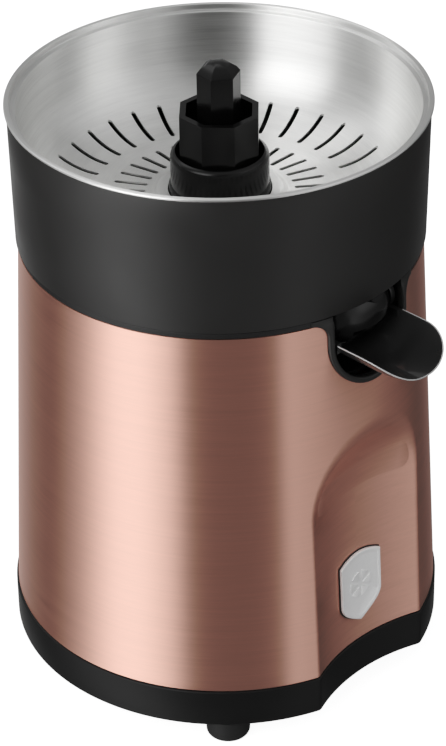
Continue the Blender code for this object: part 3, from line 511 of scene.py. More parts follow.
BY_SLOT = {
    "rose_metal": ROSE,
    "stainless": STAINLESS,
    "black_plastic": DECK_BLACK,
    "gloss_black": GLOSS_BLACK,
    "rubber": RUBBER,
    "silver": SILVER_WITH_PAINTED_REFLECTION,
    "steel": plain_metal("plain_steel", (0.48, 0.48, 0.49), 0.34),
    "bronze": plain_metal("sintered_bronze", (0.45, 0.29, 0.13), 0.45, 1500.0),
    "copper": plain_metal("enamelled_copper", (0.58, 0.25, 0.11), 0.32, 600.0),
    "grey_plastic": plastic("grey_moulding", (0.28, 0.29, 0.30), 0.55),
    "white_plastic": plastic("white_moulding", (0.78, 0.78, 0.75), 0.48),
    "red_plastic": plastic("red_moulding", (0.48, 0.03, 0.02), 0.42),
    "gear_plastic": plastic("natural_acetal", (0.76, 0.74, 0.66), 0.40),
    "magnet": plain_metal("ferrite", (0.10, 0.10, 0.11), 0.60, 900.0),
    "carbon": plastic("pressed_carbon", (0.03, 0.03, 0.03), 0.65),
}


def dress_cad_nodes():
    """Every CAD node that stays visible takes the procedural material of its slot."""
    for row in frame["record"]["subparts"]:
        node = frame["nodes"][row["node"]]
        node.data.materials.clear()
        node.data.materials.append(BY_SLOT[row["material_slot"]])


# ---------------------------------------------------------------- the body's outline

def skin_radius(height):
    return SKIN_BOTTOM_RADIUS - SKIN_TAPER * (height - SKIN_BOTTOM)


def recess_reach(angle, height, radius):
    """Distance from the axis to the glass recess's surface, which leaves the body beyond its edges."""
    rise = max(0.0, (height - RECESS_ARCH_START) / RECESS_ARCH_RISE)
    half_squared = RECESS_HALF_WIDTH ** 2 * (1.0 - rise * rise)
    centre = math.sqrt(radius ** 2 - half_squared) + math.sqrt(RECESS_CURVE ** 2 - half_squared)
    inside = RECESS_CURVE ** 2 - (centre * math.sin(angle)) ** 2
    if math.cos(angle) <= 0 or inside <= 0:
        return radius + 1.0
    return centre * math.cos(angle) - math.sqrt(inside)


def body_reach(angle, height, radius):
    """The body's outline with the recess blended in: a crisp edge at the sides, a softer one on the arch."""
    rise = min(1.0, max(0.0, (height - RECESS_ARCH_START + 0.010) / (RECESS_ARCH_RISE + 0.010)))
    blend = 0.0008 + 0.0026 * rise ** 2
    hollow = recess_reach(angle, height, radius)
    near = max(blend - abs(hollow - radius), 0.0) / blend
    return min(hollow, radius) - near * near * blend / 4


def skin_point(angle, height, inset=0.0):
    reach = body_reach(angle, height, skin_radius(height)) - inset
    return Vector((reach * math.sin(angle), -reach * math.cos(angle), height))


def skin_normal(point):
    angle = math.atan2(point.x, -point.y)
    height = min(max(point.z, SKIN_BOTTOM), SKIN_TOP)
    step = 0.0012
    along = skin_point(angle + step, height) - skin_point(angle - step, height)
    up = skin_point(angle, height + step * 0.1) - skin_point(angle, height - step * 0.1)
    return along.cross(up).normalized()


def body_angles():
    """Angles round the body, close together across the recess and its edges."""
    fine = [math.radians(-32 + 0.4 * k) for k in range(160)]
    coarse = [math.radians(32 + 2.0 * k) for k in range(148)]
    return fine + coarse


def opening_outline(half_width, top, steps=24):
    """A U in X and Z, open at the top, with a half-round bottom."""
    points = [(half_width, top)]
    for k in range(steps + 1):
        angle = -math.pi * k / steps
        points.append((half_width * math.cos(angle), OPENING_CENTRE + half_width * math.sin(angle)))
    points.append((-half_width, top))
    return points


# ---------------------------------------------------------------- housing

def build_skin():
    angles = body_angles()
    heights = [SKIN_BOTTOM + (SKIN_FINE_LOW - SKIN_BOTTOM) * k / 10 for k in range(10)]
    heights += [SKIN_FINE_LOW + 0.0010 * k for k in range(44)]
    heights += [SKIN_FINE_HIGH + (SKIN_TOP - SKIN_FINE_HIGH) * k / 8 for k in range(9)]
    outer = [[skin_point(a, h) for a in angles] for h in heights]
    levels = (SKIN_TOP, SKIN_FINE_HIGH, 0.1060, SKIN_FINE_LOW, SKIN_BOTTOM)
    inner = [[skin_point(a, h, SKIN_THICKNESS) for a in angles] for h in levels]
    skin = link("body_skin", mesh_of("body_skin", loft(outer + inner, closed=True)))
    combine(skin, "DIFFERENCE", side_slab(opening_outline(OPENING_HALF_WIDTH + 0.0012, 0.2), -0.1, -0.05))
    set_normals(skin, skin_normal)
    piece("body_skin", skin, ROSE, "housing", ["housing_skin"])


def build_base_ring():
    """The base ring follows the recess; its edges are rounded and its top edge stands proud of the skin."""
    angles = body_angles()
    edge = 0.0008
    levels = [(edge * (1 - math.sin(a)), edge * (1 - math.cos(a))) for a in (0.0, 0.52, 1.05, 1.57)]
    rows = list(levels)
    rows += [(inset, BASE_HEIGHT - height) for inset, height in reversed(levels)]

    def ring(inset, height):
        row = []
        for angle in angles:
            reach = body_reach(angle, height, BASE_RADIUS) - inset
            row.append((reach * math.sin(angle), -reach * math.cos(angle), height))
        return row

    outer = [ring(inset, height) for inset, height in rows]
    inner = [ring(0.0030, BASE_HEIGHT), ring(0.0030, 0.0)]
    shell = link("base_ring_shell", mesh_of("base_ring_shell", loft(outer + inner, closed=True), 50))
    hole = rod(0.0044, 0.070, 0.095, 24)
    hole.transform(Matrix.Translation((0, 0, 0.0082)) @ Matrix.Rotation(math.radians(-90), 4, "X"))
    combine(shell, "DIFFERENCE", hole, sharp=50)
    piece("base_ring_shell", shell, RING_BLACK, "housing", ["base_ring"])


def build_feet():
    """Turned rubber feet with a rolled lower edge and a shallow groove under the base."""
    profile = [(0.0, -FOOT_HEIGHT), (0.0050, -FOOT_HEIGHT)]
    profile += corner_arc((FOOT_RADIUS - 0.0020, -FOOT_HEIGHT + 0.0020), 0.0020, -90, 0, 6)
    profile += [(FOOT_RADIUS, -0.0016), (FOOT_RADIUS - 0.0006, -0.0011), (FOOT_RADIUS - 0.0006, -0.0003)]
    profile += [(0.0025, -0.0003), (0.0025, 0.0020), (0.0, 0.0020)]
    names = ("front_right", "rear_right", "rear_left", "front_left")
    for name, degrees in zip(names, (45, 135, 225, 315)):
        angle = math.radians(degrees)
        centre = (FOOT_CIRCLE * math.sin(angle), -FOOT_CIRCLE * math.cos(angle))
        mesh = mesh_of(f"rubber_foot_{name}", turned(profile, 48, centre))
        piece(f"rubber_foot_{name}", mesh, RUBBER, "housing", [f"foot_{name}"])


def build_deck():
    """The chassis under the collector: a flat deck, the black band over the skin and the spout's pocket."""
    skirt = BAND_RADIUS - 0.0013
    profile = [(0.0073, DECK_BOTTOM), (skirt - 0.0025, DECK_BOTTOM)]
    profile += [(skirt - 0.0025, 0.1680), (skirt, 0.1680)]
    profile += [(skirt, BAND_BOTTOM), (BAND_RADIUS, BAND_BOTTOM)]
    profile += corner_arc((BAND_RADIUS - 0.0005, DECK_TOP - 0.0005), 0.0005, 0, 90, 3)
    profile += [(0.0440, DECK_TOP), (0.0436, DECK_TOP - 0.0005)]
    profile += [(0.0424, DECK_TOP - 0.0005), (0.0420, DECK_TOP)]
    profile += [(0.0116, DECK_TOP), (0.0110, DECK_TOP + 0.0006)]
    profile += [(0.0110, 0.1896), (0.0106, 0.1900), (0.0073, 0.1900)]
    deck = link("chassis_deck", mesh_of("chassis_deck", turned(profile, 160)))
    pocket = side_slab(opening_outline(OPENING_HALF_WIDTH + 0.0020, 0.1770, 32), -0.0748, POCKET_BACK)
    combine(deck, "UNION", pocket)
    hollow = side_slab(opening_outline(OPENING_HALF_WIDTH + 0.0003, 0.2, 32), -0.1, POCKET_BACK - 0.0018)
    combine(deck, "DIFFERENCE", hollow)
    piece("chassis_deck", deck, DECK_BLACK, "housing", ["upper_chassis"])


def bezel_edges(steps=32):
    """Matching points on the trim's inner and outer edge, and its thickness there, from right to left."""
    inner_half = OPENING_HALF_WIDTH
    outer_half = OPENING_HALF_WIDTH + BEZEL_WIDTH
    right = []
    for k in range(13):
        turn = math.radians(88 * k / 12)
        height = BAND_BOTTOM - BEZEL_FLARE * (1 - math.sin(turn))
        reach = outer_half + BEZEL_FLARE * (1 - math.cos(turn))
        right.append(((inner_half, height), (reach, height), 1.0 - 0.55 * math.sin(turn) ** 3))
    right.append(((inner_half, DECK_TOP - 0.0002), (outer_half + BEZEL_FLARE, DECK_TOP - 0.0002), 0.30))
    right.reverse()
    middle = []
    for k in range(steps + 1):
        angle = -math.pi * k / steps
        side, drop = math.cos(angle), math.sin(angle)
        middle.append(((inner_half * side, OPENING_CENTRE + inner_half * drop),
                       (outer_half * side, OPENING_CENTRE + outer_half * drop), 1.0))
    left = [((-a[0], a[1]), (-b[0], b[1]), c) for a, b, c in reversed(right)]
    return right + middle + left


def on_cone(x, height, lift):
    reach = skin_radius(height) + lift
    return Vector((x, -math.sqrt(reach ** 2 - x * x), height))


def build_bezel():
    """The trim round the spout opening: a rounded strip laid on the skin, turned in at its inner edge."""
    section = ((0.0, 0.0002), (0.0, 0.0007), (0.08, 0.0012), (0.22, 0.0014), (0.5, 0.00145), (0.78, 0.0014),
               (0.92, 0.0011), (1.0, 0.0006), (1.0, -0.0016), (0.66, -0.0016), (0.66, 0.0002))
    rings = []
    for inner, outer, thick in bezel_edges():
        ring = []
        for share, lift in section:
            x = outer[0] + (inner[0] - outer[0]) * share
            z = outer[1] + (inner[1] - outer[1]) * share
            ring.append(on_cone(x, z, lift * thick if lift > 0 else lift))
        rings.append(ring)
    trim = mesh_of("spout_trim", loft(rings), 50)
    piece("spout_trim", trim, SATIN_BLACK, "housing", ["spout_bezel"])


def shield_outline(half_width, low, high, steps=12):
    """A shield: a shallow arch on top, straight sides, and curves that meet in a point below."""
    shoulder = high - 0.0030
    waist = low + 0.0115
    points = []
    for k in range(2 * steps + 1):
        x = half_width * (1 - k / steps)
        points.append((x, shoulder + 0.0030 * (1 - (x / half_width) ** 2)))
    for k in range(1, 4):
        points.append((-half_width, shoulder + (waist - shoulder) * k / 4))
    for k in range(2 * steps + 1):
        share = 1 - abs(k - steps) / steps
        side = -1 if k < steps else 1
        points.append((side * half_width * (1 - share ** 2), waist - (waist - low) * share))
    for k in range(1, 4):
        points.append((half_width, waist + (shoulder - waist) * k / 4))
    return points


def on_recess(x, height, lift):
    """A point standing off the recess's surface, for a given X and height."""
    angle = 0.0
    for _ in range(6):
        angle = math.asin(x / body_reach(angle, height, skin_radius(height)))
    reach = body_reach(angle, height, skin_radius(height)) + lift
    return Vector((x, -reach * math.cos(angle), height))


def recess_plate(name, outline, levels):
    """A plate on the recess: rings of an outline drawn in towards its middle, each at its own lift."""
    middle_z = sum(z for _, z in outline) / len(outline)
    middle_x = sum(x for x, _ in outline) / len(outline)
    rings = []
    for share, lift in levels:
        ring = []
        for x, z in outline:
            across, high = middle_x + (x - middle_x) * share, middle_z + (z - middle_z) * share
            ring.append(on_recess(across, high, lift))
        rings.append(ring)
    return mesh_of(name, loft(rings), 40)


def build_badge():
    """A shield badge: a thin dark frame, a silver plate with a raised border and a citrus slice."""
    outline = shield_outline(BADGE_HALF_WIDTH, BADGE_LOW, BADGE_HIGH)
    levels = ((1.0, 0.0001), (1.0, 0.0003), (0.98, 0.0004), (0.1, 0.0004))
    piece("badge_frame_plate", recess_plate("badge_frame_plate", outline, levels), DECK_BLACK, "housing",
          ["badge_frame"])
    outline = shield_outline(BADGE_HALF_WIDTH - 0.0003, BADGE_LOW + 0.0004, BADGE_HIGH - 0.0004)
    levels = ((0.99, 0.0003), (1.0, 0.0005), (1.0, 0.0011), (0.975, 0.0015), (0.90, 0.0016), (0.875, 0.0014),
              (0.86, 0.0012), (0.55, 0.0012), (0.3, 0.0012), (0.05, 0.0012))
    shield = recess_plate("badge_shield", outline, levels)
    piece("badge_shield", shield, SILVER_WITH_PAINTED_REFLECTION, "housing", ["badge_plate"])
    middle = (0.0, 0.0440)
    relief = []
    for k in range(6):
        first = math.radians(60 * k + 7)
        last = math.radians(60 * k + 53)
        wedge = [(0.0014, (first + last) / 2)]
        wedge += [(0.0060, first + (last - first) * s / 6) for s in range(7)]
        outline = [(middle[0] + r * math.sin(a), middle[1] + r * math.cos(a)) for r, a in wedge]
        cx = sum(x for x, _ in outline) / len(outline)
        cz = sum(z for _, z in outline) / len(outline)
        rings = []
        for share, lift in ((1.0, 0.0011), (1.0, 0.0014), (0.85, 0.00155)):
            rings.append([on_recess(cx + (x - cx) * share, cz + (z - cz) * share, lift) for x, z in outline])
        relief.append(loft(rings))
    piece("badge_relief", mesh_of("badge_relief", merge(relief)), SILVER_WITH_PAINTED_REFLECTION, "housing")


# ---------------------------------------------------------------- collector, spout, bowl and spindle

def build_collector():
    """The collector: the black collar, a floor with the nozzle's throat, and the chimney round the shaft."""
    inner = COLLAR_BOTTOM_RADIUS - COLLAR_WALL
    floor_low, floor_high = COLLAR_BOTTOM + 0.0004, COLLAR_BOTTOM + 0.0026
    bore = CHIMNEY_RADIUS - COLLAR_WALL
    profile = [(inner, COLLAR_BOTTOM), (COLLAR_BOTTOM_RADIUS - 0.0005, COLLAR_BOTTOM)]
    profile += [(COLLAR_BOTTOM_RADIUS - 0.0001, COLLAR_BOTTOM + 0.0002)]
    profile += [(COLLAR_BOTTOM_RADIUS, COLLAR_BOTTOM + 0.0006)]
    profile += [(COLLAR_BOTTOM_RADIUS + 0.0003, 0.1970), (COLLAR_BOTTOM_RADIUS + 0.0006, 0.2160)]
    profile += [(COLLAR_TOP_RADIUS, COLLAR_TOP - 0.0003), (COLLAR_TOP_RADIUS - 0.0002, COLLAR_TOP)]
    profile += [(COLLAR_TOP_RADIUS - 0.0007, COLLAR_TOP), (COLLAR_TOP_RADIUS - 0.0007, COLLAR_TOP - 0.0022)]
    profile += [(COLLAR_TOP_RADIUS - COLLAR_WALL, COLLAR_TOP - 0.0022)]
    profile += [(inner, floor_high + 0.0040)]
    profile += corner_arc((inner - 0.0040, floor_high + 0.0040), 0.0040, 0, -90, 5)[1:]
    profile += [(CHIMNEY_FLANGE + 0.0012, floor_high), (CHIMNEY_FLANGE, floor_high + 0.0012)]
    profile += [(CHIMNEY_FLANGE, 0.1986), (CHIMNEY_FLANGE - 0.0003, 0.1990), (CHIMNEY_RADIUS, 0.1993)]
    profile += corner_arc((CHIMNEY_RADIUS - 0.0024, CHIMNEY_TOP - 0.0024), 0.0024, 0, 90, 8)[:-1]
    profile += [(bore + 0.0003, CHIMNEY_TOP), (bore, CHIMNEY_TOP - 0.0004)]
    profile += [(bore, floor_low), (inner, floor_low)]
    shell = link("collector_shell", mesh_of("collector_shell", turned(profile, 192), 40))
    combine(shell, "DIFFERENCE", nozzle_throat(), sharp=40)
    piece("collector_shell", shell, SATIN_BLACK, "collector", ["juice_collector"])
    shell.data.materials.append(SPINDLE_BLACK)
    for face in shell.data.polygons:
        if math.hypot(face.center.x, face.center.y) < CHIMNEY_FLANGE + 0.0015:
            face.material_index = 1


def nozzle_throat():
    """The square hole that leads from the collector's floor down into the nozzle."""
    half = NECK_HALF_WIDTH - 0.0020
    return box((-half, NECK_FRONT + 0.0020, PIVOT_Z), (half, -0.0594, 0.2000))


def barrel_rings(grow, end, first, last, segments, steps):
    """Arcs round the spout's pivot at steps along X, on the nozzle's barrel grown by a margin."""
    reach, deep, tall = (half + grow for half in NOZZLE_HALF)
    rings = []
    for k in range(steps + 1):
        x = -end * math.cos(math.pi * k / steps)
        size = math.sqrt(1 - (x / reach) ** 2)
        ring = []
        for s in range(segments + 1):
            angle = first + (last - first) * s / segments
            ring.append((x, -deep * size * math.cos(angle), tall * size * math.sin(angle)))
        rings.append(ring)
    return rings


def barrel(grow, end, segments=64, steps=24):
    bm = loft([ring[:-1] for ring in barrel_rings(grow, end, 0.0, 2 * math.pi, segments, steps)])
    bm.transform(Matrix.Translation((0, PIVOT_Y, PIVOT_Z)))
    return bm


def build_nozzle():
    """The nozzle under the collector: a hollow barrel on a short neck, open below its front."""
    top = COLLAR_BOTTOM + 0.0003
    nozzle = link("collector_nozzle", mesh_of("collector_nozzle", barrel(0.0, NOZZLE_END)))
    neck = box((-NECK_HALF_WIDTH, NECK_FRONT, 0.1700), (NECK_HALF_WIDTH, NECK_BACK, top + 0.0010))
    combine(nozzle, "UNION", neck)
    tab = [(-0.0010, 0.1787), (-0.0010, 0.1784), (0.0051, 0.1736), (0.0051, 0.1787)]
    combine(nozzle, "UNION", side_slab(tab, -0.0798, -0.0770))
    combine(nozzle, "DIFFERENCE", box((-0.0300, -0.1000, top), (0.0300, -0.0300, 0.2000)))
    combine(nozzle, "DIFFERENCE", barrel(-NOZZLE_WALL, NOZZLE_END - 0.0022, 48, 16))
    combine(nozzle, "DIFFERENCE", nozzle_throat())
    mouth = box((-0.0090, -0.0900, PIVOT_Z - 0.0088), (0.0090, PIVOT_Y - 0.0060, PIVOT_Z - 0.0030))
    combine(nozzle, "DIFFERENCE", mouth)
    combine(nozzle, "DIFFERENCE", cross_rod(0.0021, 0.0200, 24, PIVOT_Y, PIVOT_Z))

    def barrel_normal(point):
        x, y, z = point.x, point.y - PIVOT_Y, point.z - PIVOT_Z
        reach, deep, tall = NOZZLE_HALF
        if abs((x / reach) ** 2 + (y / deep) ** 2 + (z / tall) ** 2 - 1) > 0.02:
            return None
        return Vector((x / reach ** 2, y / deep ** 2, z / tall ** 2)).normalized()

    set_normals(nozzle, barrel_normal)
    piece("collector_nozzle", nozzle, GLOSS_BLACK, "collector", ["juice_nozzle"])


def spout_curve():
    """Radius of the spout's inner face across its width."""
    depth = SPOUT_RIM - SPOUT_FLOOR
    return (SPOUT_HALF_WIDTH ** 2 + depth ** 2) / (2 * depth)


def spout_face(x, sunk=0.0):
    """The point of the spout's inner face at X, or one sunk below it, as X and height."""
    curve = spout_curve()
    turn = math.asin(x / curve)
    return (curve + sunk) * math.sin(turn), SPOUT_FLOOR + curve - (curve + sunk) * math.cos(turn)


def spout_plan(turn):
    """Half-width and Y of the spout's outline: 0 degrees is where the tip starts and 90 is its middle."""
    power = 2 / SPOUT_TIP_POWER
    along = 1 - math.sin(turn) ** power
    return SPOUT_HALF_WIDTH * math.cos(turn) ** power, -SPOUT_REACH + SPOUT_TIP_LENGTH * along


def spout_shell():
    """The gutter: full thickness in its middle, thinning to a fine edge all round its rim and tip."""
    start = -SPOUT_REACH + SPOUT_TIP_LENGTH
    stations = [(SPOUT_HALF_WIDTH, -0.0706 + (start + 0.0706) * k / 10) for k in range(10)]
    stations += [spout_plan(math.radians(89.0 * (k / 40) ** 0.8)) for k in range(41)]
    power = SPOUT_TIP_POWER
    rings = []
    for half, y in stations:
        beyond = max(0.0, start - y) / SPOUT_TIP_LENGTH
        inner, outer = [], []
        for k in range(41):
            x = half * math.sin(math.radians(4.5 * k - 90))
            share = ((abs(x) / SPOUT_HALF_WIDTH) ** power + beyond ** power) ** (1 / power)
            full = min(1.0, max(0.0, 1 - share) * SPOUT_HALF_WIDTH / 0.0045)
            sunk = SPOUT_EDGE + (SPOUT_WALL - SPOUT_EDGE) * math.sin(full * math.pi / 2)
            across, high = spout_face(x)
            inner.append((across, y, high))
            across, high = spout_face(x, sunk)
            outer.append((across, y, high))
        rings.append(inner + outer[::-1])
    return loft(rings)


def build_spout():
    """The tilting spout: a round-tipped gutter with a valve shell under the nozzle and two ears."""
    spout = link("pouring_spout", mesh_of("pouring_spout", spout_shell(), 50))
    spout.data.transform(Matrix.Translation((0, -PIVOT_Y, -PIVOT_Z)))
    rim = SPOUT_RIM - PIVOT_Z
    end = NOZZLE_END - 0.0008
    first, last = math.radians(-82), math.radians(-150)
    near = barrel_rings(NOZZLE_CLEARANCE - 0.0002, end, first, last, 20, 16)
    far = barrel_rings(NOZZLE_CLEARANCE + 0.0018, end, first, last, 20, 16)
    combine(spout, "UNION", loft([a + list(reversed(b)) for a, b in zip(near, far)]), sharp=50)
    for side in (-1, 1):
        low, high = sorted((side * SPOUT_EARS[0], side * SPOUT_EARS[1]))
        ear = rod(0.0066, low, high, 40)
        ear.transform(Matrix.Rotation(math.radians(90), 4, "Y"))
        combine(spout, "UNION", ear, sharp=50)
        combine(spout, "UNION", box((low, -0.0100, rim - 0.0040), (high, 0.0040, rim + 0.0002)), sharp=50)
    clearance = barrel_rings(NOZZLE_CLEARANCE, NOZZLE_END + 0.0002, 0.0, 2 * math.pi, 48, 16)
    combine(spout, "DIFFERENCE", loft([ring[:-1] for ring in clearance]), sharp=50)
    combine(spout, "DIFFERENCE", cross_rod(0.0020, 0.0300, 24, 0.0, 0.0), sharp=50)
    spout.data.transform(Matrix.Translation((0, PIVOT_Y, PIVOT_Z)))
    piece("pouring_spout", spout, SPOUT_BLACK, "spout", ["tilting_spout"])


def build_painted_highlight_bead():
    """A painted highlight: a fine rounded bead of light grey along the spout's thin edge, standing for the
    bright line of light on its rim.
    """
    plan = [(SPOUT_HALF_WIDTH, -0.0790)] + [spout_plan(math.radians(90 * k / 30)) for k in range(31)]
    plan += [(-half, y) for half, y in reversed(plan[:-1])]
    points = []
    for x, y in plan:
        across, high = spout_face(x, SPOUT_EDGE / 2)
        points.append(Vector((across, y, high)))
    rings = []
    for k, point in enumerate(points):
        ahead = (points[min(k + 1, len(points) - 1)] - points[max(k - 1, 0)]).normalized()
        side = ahead.cross(Vector((0, 0, 1))).normalized()
        up = side.cross(ahead)
        turns = [2 * math.pi * s / 10 for s in range(10)]
        rings.append([point + (side * math.cos(t) + up * math.sin(t)) * LIP_RADIUS for t in turns])
    piece("spout_painted_highlight_bead", mesh_of("spout_painted_highlight_bead", loft(rings), 60), LIP_PAINTED_HIGHLIGHT_GREY, "spout")


def bowl_profile():
    """The pressed sheet from the centre hole out to the rolled rim, then back along its outer face."""
    inner = [(BOWL_HOLE, BOWL_HUMP_TOP), (0.0232, BOWL_HUMP_TOP), (0.0240, 0.1963), (0.0248, 0.1958)]
    inner += [(0.0260, 0.1944), (0.0267, 0.1941), (BOWL_HUMP_RADIUS, BOWL_FLOOR), (0.0380, BOWL_FLOOR)]
    centre_r = BOWL_INNER - BOWL_CURVE
    centre_z = BOWL_FLOOR + BOWL_CURVE
    wall_angle = math.degrees(math.asin((BOWL_WALL - centre_r) / BOWL_CURVE))
    inner += corner_arc((centre_r, centre_z), BOWL_CURVE, -90, wall_angle - 90, 22)
    groove = BOWL_TOP - 0.0024
    lip = BOWL_TOP - 0.0013
    step = BOWL_INNER + 0.0013
    rim = [(BOWL_WALL, groove - 0.0006), (BOWL_WALL + 0.0002, groove - 0.0001), (BOWL_WALL + 0.0006, groove)]
    rim += [(step - 0.0003, groove), (step, groove + 0.0003)]
    rim += [(step, BOWL_TOP - 0.0006), (step + 0.0002, BOWL_TOP - 0.0001), (step + 0.0006, BOWL_TOP)]
    rim += corner_arc((BOWL_RADIUS - 0.0006, BOWL_TOP - 0.0006), 0.0006, 90, -20, 7)
    rim += [(BOWL_RADIUS - 0.0006, lip), (step + 0.0003, lip), (step + 0.0003, groove - BOWL_SHEET)]
    rim += [(BOWL_WALL + BOWL_SHEET, groove - BOWL_SHEET)]
    outer = corner_arc((centre_r, centre_z), BOWL_CURVE + BOWL_SHEET, wall_angle - 90, -90, 12)
    outer[0] = (BOWL_WALL + BOWL_SHEET, outer[0][1])
    under = BOWL_HUMP_TOP - BOWL_SHEET
    outer += [(0.0268, BOWL_FLOOR - BOWL_SHEET), (0.0240, under), (BOWL_HOLE, under)]
    return inner, rim, outer


def slot_cutter(start, end, degrees):
    """One radial slot with round ends, standing through the sheet."""
    half = SLOT_WIDTH / 2
    outline = []
    for centre, first in ((-end + half, 180), (-start - half, 0)):
        for k in range(7):
            angle = math.radians(first + 180 * k / 6)
            outline.append((half * math.cos(angle), centre + half * math.sin(angle)))
    bm = loft([[(x, y, z) for x, y in outline] for z in SLOT_CUT])
    bm.transform(Matrix.Rotation(math.radians(degrees), 4, "Z"))
    return bm


def build_bowl():
    """The pressed strainer bowl with its two rings of radial slots."""
    inner, rim, outer = bowl_profile()
    bowl = link("slotted_bowl", mesh_of("slotted_bowl", turned(inner + rim + outer, 180), 40))
    slots = []
    for start, end, phase in SLOT_RINGS:
        slots += [slot_cutter(start, end, phase + 360 * k / SLOT_COUNT) for k in range(SLOT_COUNT)]
    combine(bowl, "DIFFERENCE", merge(slots), sharp=40)

    def bowl_normal(point):
        """The inner face's normal at a point, from the profile's nearest stretch."""
        radius = math.hypot(point.x, point.y)
        centre_r, centre_z = BOWL_INNER - BOWL_CURVE, BOWL_FLOOR + BOWL_CURVE
        if radius < BOWL_HUMP_RADIUS or point.z > BOWL_TOP - 0.0030:
            return None
        if radius <= centre_r:
            if abs(point.z - BOWL_FLOOR) > 0.0002:
                return None
            return Vector((0, 0, 1))
        offset = Vector((radius - centre_r, point.z - centre_z))
        if abs(offset.length - BOWL_CURVE) > 0.0002:
            if abs(radius - BOWL_WALL) < 0.0002:
                return Vector((-point.x / radius, -point.y / radius, 0))
            return None
        offset.normalize()
        return Vector((-offset.x * point.x / radius, -offset.x * point.y / radius, -offset.y))

    set_normals(bowl, bowl_normal)
    piece("slotted_bowl", bowl, STAINLESS, "strainer", ["strainer_bowl"])


def build_spindle():
    """The moulded spindle: an eight-sided cup with a six-sided pin standing in it."""
    eight = math.radians(STAGE_PHASE)
    six = math.radians(PIN_PHASE)
    stage = loft([circle(STAGE_RADIUS, z, 8, phase=eight) for z in (STAGE_LOW, STAGE_HIGH)])
    spindle = link("octagon_spindle", mesh_of("octagon_spindle", stage, 20))
    cup = loft([circle(STAGE_RADIUS - CUP_WALL, z, 8, phase=eight) for z in (CUP_FLOOR, STAGE_HIGH + 0.01)])
    combine(spindle, "DIFFERENCE", cup, sharp=20)
    levels = ((PIN_RADIUS, 0.2150), (PIN_RADIUS, PIN_TOP), (0.0071, 0.2477), (0.0048, 0.2492),
              (0.0018, PIN_APEX))
    pin = loft([circle(radius, z, 6, phase=six) for radius, z in levels])
    combine(spindle, "UNION", pin, sharp=20)
    combine(spindle, "DIFFERENCE", rod(0.0052, 0.1900, 0.2134, 32), sharp=20)
    combine(spindle, "DIFFERENCE", cross_rod(0.0013, 0.03, 16, 0.0, 0.2060), sharp=20)
    soften(spindle, 0.0006, 3, 20)
    piece("octagon_spindle", spindle, SPINDLE_BLACK, "drive", ["drive_spindle"])


def build_spring():
    """The return spring in its well: a helical wire at one fixed length; the real one shortens as the
    spindle is pressed down.
    """
    rings = []
    for k in range(SPRING_TURNS * 24 + 1):
        turn = 2 * math.pi * k / 24
        rise = SPRING_LOW + (SPRING_HIGH - SPRING_LOW) * k / (SPRING_TURNS * 24)
        outward = Vector((math.cos(turn), math.sin(turn), 0))
        middle = outward * SPRING_RADIUS + Vector((0, 0, rise))
        ring = []
        for side in range(8):
            angle = math.pi * side / 4
            ring.append(middle + (outward * math.cos(angle) + Vector((0, 0, math.sin(angle)))) * SPRING_WIRE)
        rings.append(ring)
    coil = mesh_of("return_spring_coil", loft(rings), 60)
    spring = piece("return_spring_coil", coil, BY_SLOT["steel"], "thrust", ["return_spring"])
    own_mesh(spring)


# ---------------------------------------------------------------- studio

def ramp_of(tree, stops):
    """A colour ramp of greys from (position, value) pairs."""
    node = tree.nodes.new("ShaderNodeValToRGB")
    elements = node.color_ramp.elements
    while len(elements) > 1:
        elements.remove(elements[-1])
    for k, (place, value) in enumerate(stops):
        stop = elements[0] if k == 0 else elements.new(place)
        stop.position = place
        stop.color = (value, value, value, 1.0)
    return node


